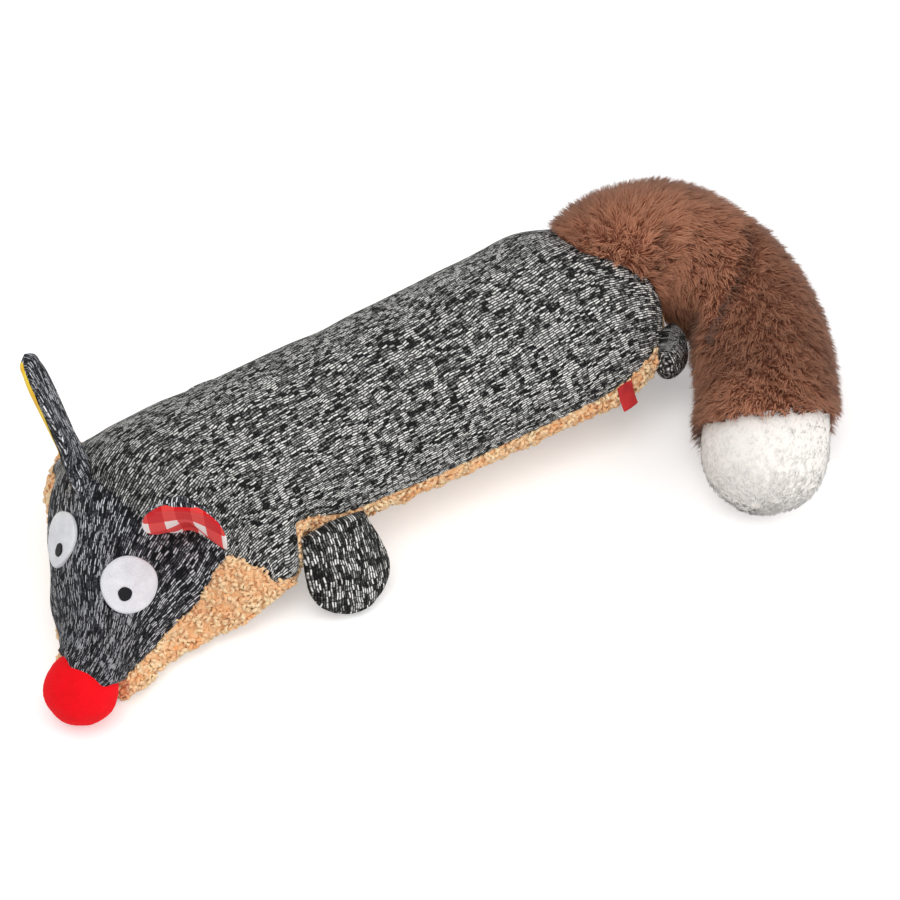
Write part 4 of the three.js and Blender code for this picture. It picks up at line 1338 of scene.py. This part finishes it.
class FOX_OT_fleece(bpy.types.Operator):
    """Draws the curly fleece of the belly, cheeks and chin."""

    bl_idname = "fox.fleece"
    bl_label = "Fleece"

    def execute(self, context):
        points = fleece_grid()
        fleece = closed(sheet_object("fleece_skin", points), (-40, 0, 45))
        dressed(fleece, material("fleece", fleece_material), ("belly_panel", "head_cheeks"))
        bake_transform(fleece)
        weight = smooth(1, 3, points[..., 2])
        for name, seed in (("fleece_curls_one", 51), ("fleece_curls_two", 52)):
            place, normal, along, _, _, rng = scatter(points, fox().curls, weight, seed)
            normal *= np.sign(np.sum(normal[:, 1] * place[:, 1]))
            curls = curls_object(name, place, normal, along, rng)
            dressed(curls, material("fleece tufts", tuft_material))
            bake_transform(curls)
        return {"FINISHED"}


class FOX_OT_legs(bpy.types.Operator):
    """Draws the four stuffed legs."""

    bl_idname = "fox.legs"
    bl_label = "Legs"

    def execute(self, context):
        for seed, (name, (at, heading, droop, share)) in enumerate(LEGS.items()):
            points, cloth = leg_grid(at, heading, droop, share, seed)
            leg = closed(
                sheet_object(name + "_knit", points, wrap=True, vectors={"cloth": cloth}),
                points.mean((0, 1))
            )
            # The legs' knit is the body's darkened as painted shade
            dressed(
                leg, knit_paint("knit leg"), [name + part for part in ("_top", "_sole", "_filling")]
            )
            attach(leg, name)
        return {"FINISHED"}


class FOX_OT_ears(bpy.types.Operator):
    """Draws the two cupped ears with their linings."""

    bl_idname = "fox.ears"
    bl_label = "Ears"

    def execute(self, context):
        red = material("lining red", check_material, 6.2)
        yellow = material(
            "lining yellow", plain_cloth, linear(244, 184, 34), linear(255, 222, 62), 1.1, 0.2
        )
        ears = (
            ("ear_left", EAR_LEFT, red, "lining_red"),
            ("ear_right", EAR_RIGHT, yellow, "lining_yellow"),
        )
        for name, (root, along, facing, roll, shape, lining), paint, slot in ears:
            axes = ear_axes(along, facing, roll)
            points, cloth = ear_grid(on_head(root), axes, shape)
            back = closed(
                sheet_object(name + "_knit", points, wrap=True, vectors={"cloth": cloth}),
                points.mean((0, 1))
            )
            dressed(back, knit_paint("knit head"), (name + "_back",))
            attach(back, name)
            points, cloth = ear_grid(on_head(root), axes, shape, lining)
            inner = closed(
                sheet_object(name + "_inside", points, vectors={"cloth": cloth}),
                points.mean((0, 1)) + 8 * axes[2]
            )
            dressed(inner, paint, (name + "_lining",))
            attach(inner, name)
        return {"FINISHED"}


class FOX_OT_face(bpy.types.Operator):
    """Draws the felt eyes, their pupils and the felt nose."""

    bl_idname = "fox.face"
    bl_label = "Eyes and nose"

    def execute(self, context):
        mask = mask_grid()[0]
        white = material(
            "felt white", felt_material, linear(208, 209, 214), linear(238, 239, 243), 1000.0, 0.35, 0.2
        )
        black = material(
            "pupil black", felt_material, linear(8, 8, 10), linear(34, 34, 38), 1000.0, 0.3, 0.1
        )
        red = material("felt red", felt_material, linear(236, 0, 14), linear(255, 0, 24), 700.0, 0.6, 0.0)
        for side, place, facing, shift in EYES:
            middle = on_head(place)
            axes, height = fitted_patch(mask, middle, facing)
            inside = middle - 10 * axes[2]
            points = disc_grid(middle, axes, height, EYE_RADIUS, 2.0, (0, 0), 0.012)
            felt = closed(sheet_object(f"eye_{side}_disc", points, wrap=True), inside)
            dressed(felt, white, (f"eye_{side}_felt",))
            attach(felt, "head")
            height[0] += 2.0
            points = disc_grid(middle, axes, height, PUPIL_RADIUS, 0.7, shift, 0.03)
            pupil = closed(sheet_object(f"eye_{side}_dot", points, wrap=True), inside)
            dressed(pupil, black, (f"eye_{side}_pupil",))
            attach(pupil, "head")
        middle = on_head(NOSE)
        nose = closed(sheet_object("nose_felt", ball_grid(middle, NOSE_RADIUS, 61), wrap=True), middle)
        dressed(nose, red, ("nose_ball",))
        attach(nose, "head")
        return {"FINISHED"}


class FOX_OT_tail(bpy.types.Operator):
    """Draws the brown fur tail and its white tip."""

    bl_idname = "fox.tail"
    bl_label = "Tail"

    def execute(self, context):
        own = fox()
        brown = material(
            "fur brown", fur_material, linear(112, 60, 40), linear(192, 122, 90), linear(240, 174, 138),
            0.34
        )
        white = material(
            "fur white", fur_material, linear(255, 247, 240), linear(255, 250, 245), linear(255, 253, 250),
            0.93
        )
        brown_base = material(
            "fur backing brown", felt_material, linear(112, 66, 47), linear(160, 104, 80), 600.0, 0.5, 0.1
        )
        white_base = material(
            "fur backing white", felt_material, linear(252, 244, 236), linear(255, 251, 246), 600.0, 0.5,
            0.1
        )
        base = closed(
            sheet_object("tail_backing", tail_tube(0, fur_edge(TAIL_ANGLES) - 0.5, 140, 0), wrap=True),
            (175, -20, 40)
        )
        dressed(base, brown_base, ("tail_sleeve", "tail_filling"))
        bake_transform(base)
        tip = closed(
            sheet_object(
                "tip_backing", tail_tube(fur_edge(TAIL_ANGLES) - 8, TAIL_END + TIP_CAP, 60, -0.2), wrap=True
            ),
            (134, -122, 28)
        )
        dressed(tip, white_base, ("tail_tip_cover", "tail_tip_filling"))
        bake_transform(tip)
        stretches = (("fur_root", 2, 66, 71), ("fur_middle", 64, 126, 72), ("fur_end", 124, BROWN_TO, 73))
        for name, first, last, seed in stretches:
            hairs = spikes_object(
                name, *fur(first, last, own.brown_hairs, own.brown_length / MM, 0.95, seed)
            )
            dressed(hairs, brown)
            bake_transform(hairs)
        ends = fur(WHITE_FROM, TAIL_END + TIP_CAP - 0.3, own.white_hairs, own.white_length / MM, 0.45, 74)
        hairs = spikes_object("fur_tip", *ends)
        dressed(hairs, white)
        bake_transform(hairs)
        return {"FINISHED"}


class FOX_OT_label(bpy.types.Operator):
    """Draws the plain sewn-in tab and paints the squeaker inside the body."""

    bl_idname = "fox.label"
    bl_label = "Tab and squeaker"

    def execute(self, context):
        points, flat = label_grid(LABEL_ROOT, *LABEL_HANG, *LABEL_SIZE)
        cloth = material("label red", plain_cloth, linear(178, 30, 34), linear(214, 52, 52), 1.6, 0.3)
        tab = closed(
            sheet_object("sewn_tab", points, wrap=True, vectors={"cloth": flat}), points.mean((0, 1))
        )
        dressed(tab, cloth, ("label_tab",))
        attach(tab, "label")
        milky = material("squeaker plastic", plastic_material)
        for name in ("squeaker_base", "squeaker_pleat", "squeaker_cap", "squeaker_reed"):
            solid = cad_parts[name]
            solid.data.materials.clear()
            solid.data.materials.append(milky)
            if name == "squeaker_pleat":
                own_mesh(solid)
        return {"FINISHED"}


class FOX_OT_stage(bpy.types.Operator):
    """Sets the floor, lights, background and camera."""

    bl_idname = "fox.stage"
    bl_label = "Stage"

    def execute(self, context):
        own = fox()
        scene = context.scene
        corners = FLOOR_REACH * np.array([(-1, -1, 0), (1, -1, 0), (1, 1, 0), (-1, 1, 0)], float)
        floor = object_of("floor", corners, np.array([(0, 1, 2, 3)]), flat=True)
        floor.data.materials.append(floor_material("floor", own.floor_glow))
        set_world(scene, own.sky)
        for name, place, power, size in (
            ("key light", (-0.5, -0.5, 1.6), own.key_power, 1.1),
            ("fill light", (0.9, -1.3, 0.9), own.fill_power, 1.2),
        ):
            lamp = bpy.data.lights.new(name, "AREA")
            lamp.energy = power
            lamp.size = size
            lit = bpy.data.objects.new(name, lamp)
            lit.location = place
            lit.rotation_euler = (TARGET - Vector(place)).to_track_quat("-Z", "Y").to_euler()
            scene.collection.objects.link(lit)
        lens = bpy.data.cameras.new("camera")
        lens.lens = LENS
        lens.sensor_width = 36
        camera = bpy.data.objects.new("camera", lens)
        back = CAMERA_RIGHT.cross(CAMERA_UP)
        camera.matrix_world = Matrix((CAMERA_RIGHT, CAMERA_UP, back)).transposed().to_4x4()
        camera.location = TARGET + back * CAMERA_AWAY
        scene.collection.objects.link(camera)
        scene.camera = camera
        scene.view_settings.view_transform = "Standard"
        return {"FINISHED"}


class FOX_PT_panel(bpy.types.Panel):
    """Settings and pieces of the fox in the sidebar."""

    bl_idname = "FOX_PT_panel"
    bl_label = "Squeaky Fox"
    bl_space_type = "VIEW_3D"
    bl_region_type = "UI"
    bl_category = "Fox"

    def draw(self, context):
        for key in FoxSettings.__annotations__:
            self.layout.prop(context.scene.fox, key)
        for operator in OPERATORS:
            self.layout.operator(operator.bl_idname)


OPERATORS = (
    FOX_OT_back, FOX_OT_fleece, FOX_OT_legs, FOX_OT_ears, FOX_OT_face, FOX_OT_tail, FOX_OT_label,
    FOX_OT_stage,
)
CLASSES = (FoxSettings,) + OPERATORS + (FOX_PT_panel,)


def register():
    """Adds the classes and the scene's settings."""
    for kind in CLASSES:
        bpy.utils.register_class(kind)
    bpy.types.Scene.fox = bpy.props.PointerProperty(type=FoxSettings)


def unregister():
    """Takes them away again."""
    del bpy.types.Scene.fox
    for kind in reversed(CLASSES):
        bpy.utils.unregister_class(kind)


def main():
    """Draws every piece and the stage."""
    register()
    bpy.ops.fox.back()
    bpy.ops.fox.fleece()
    bpy.ops.fox.legs()
    bpy.ops.fox.ears()
    bpy.ops.fox.face()
    bpy.ops.fox.tail()
    bpy.ops.fox.label()
    bpy.ops.fox.stage()


if __name__ == "__main__":
    main()
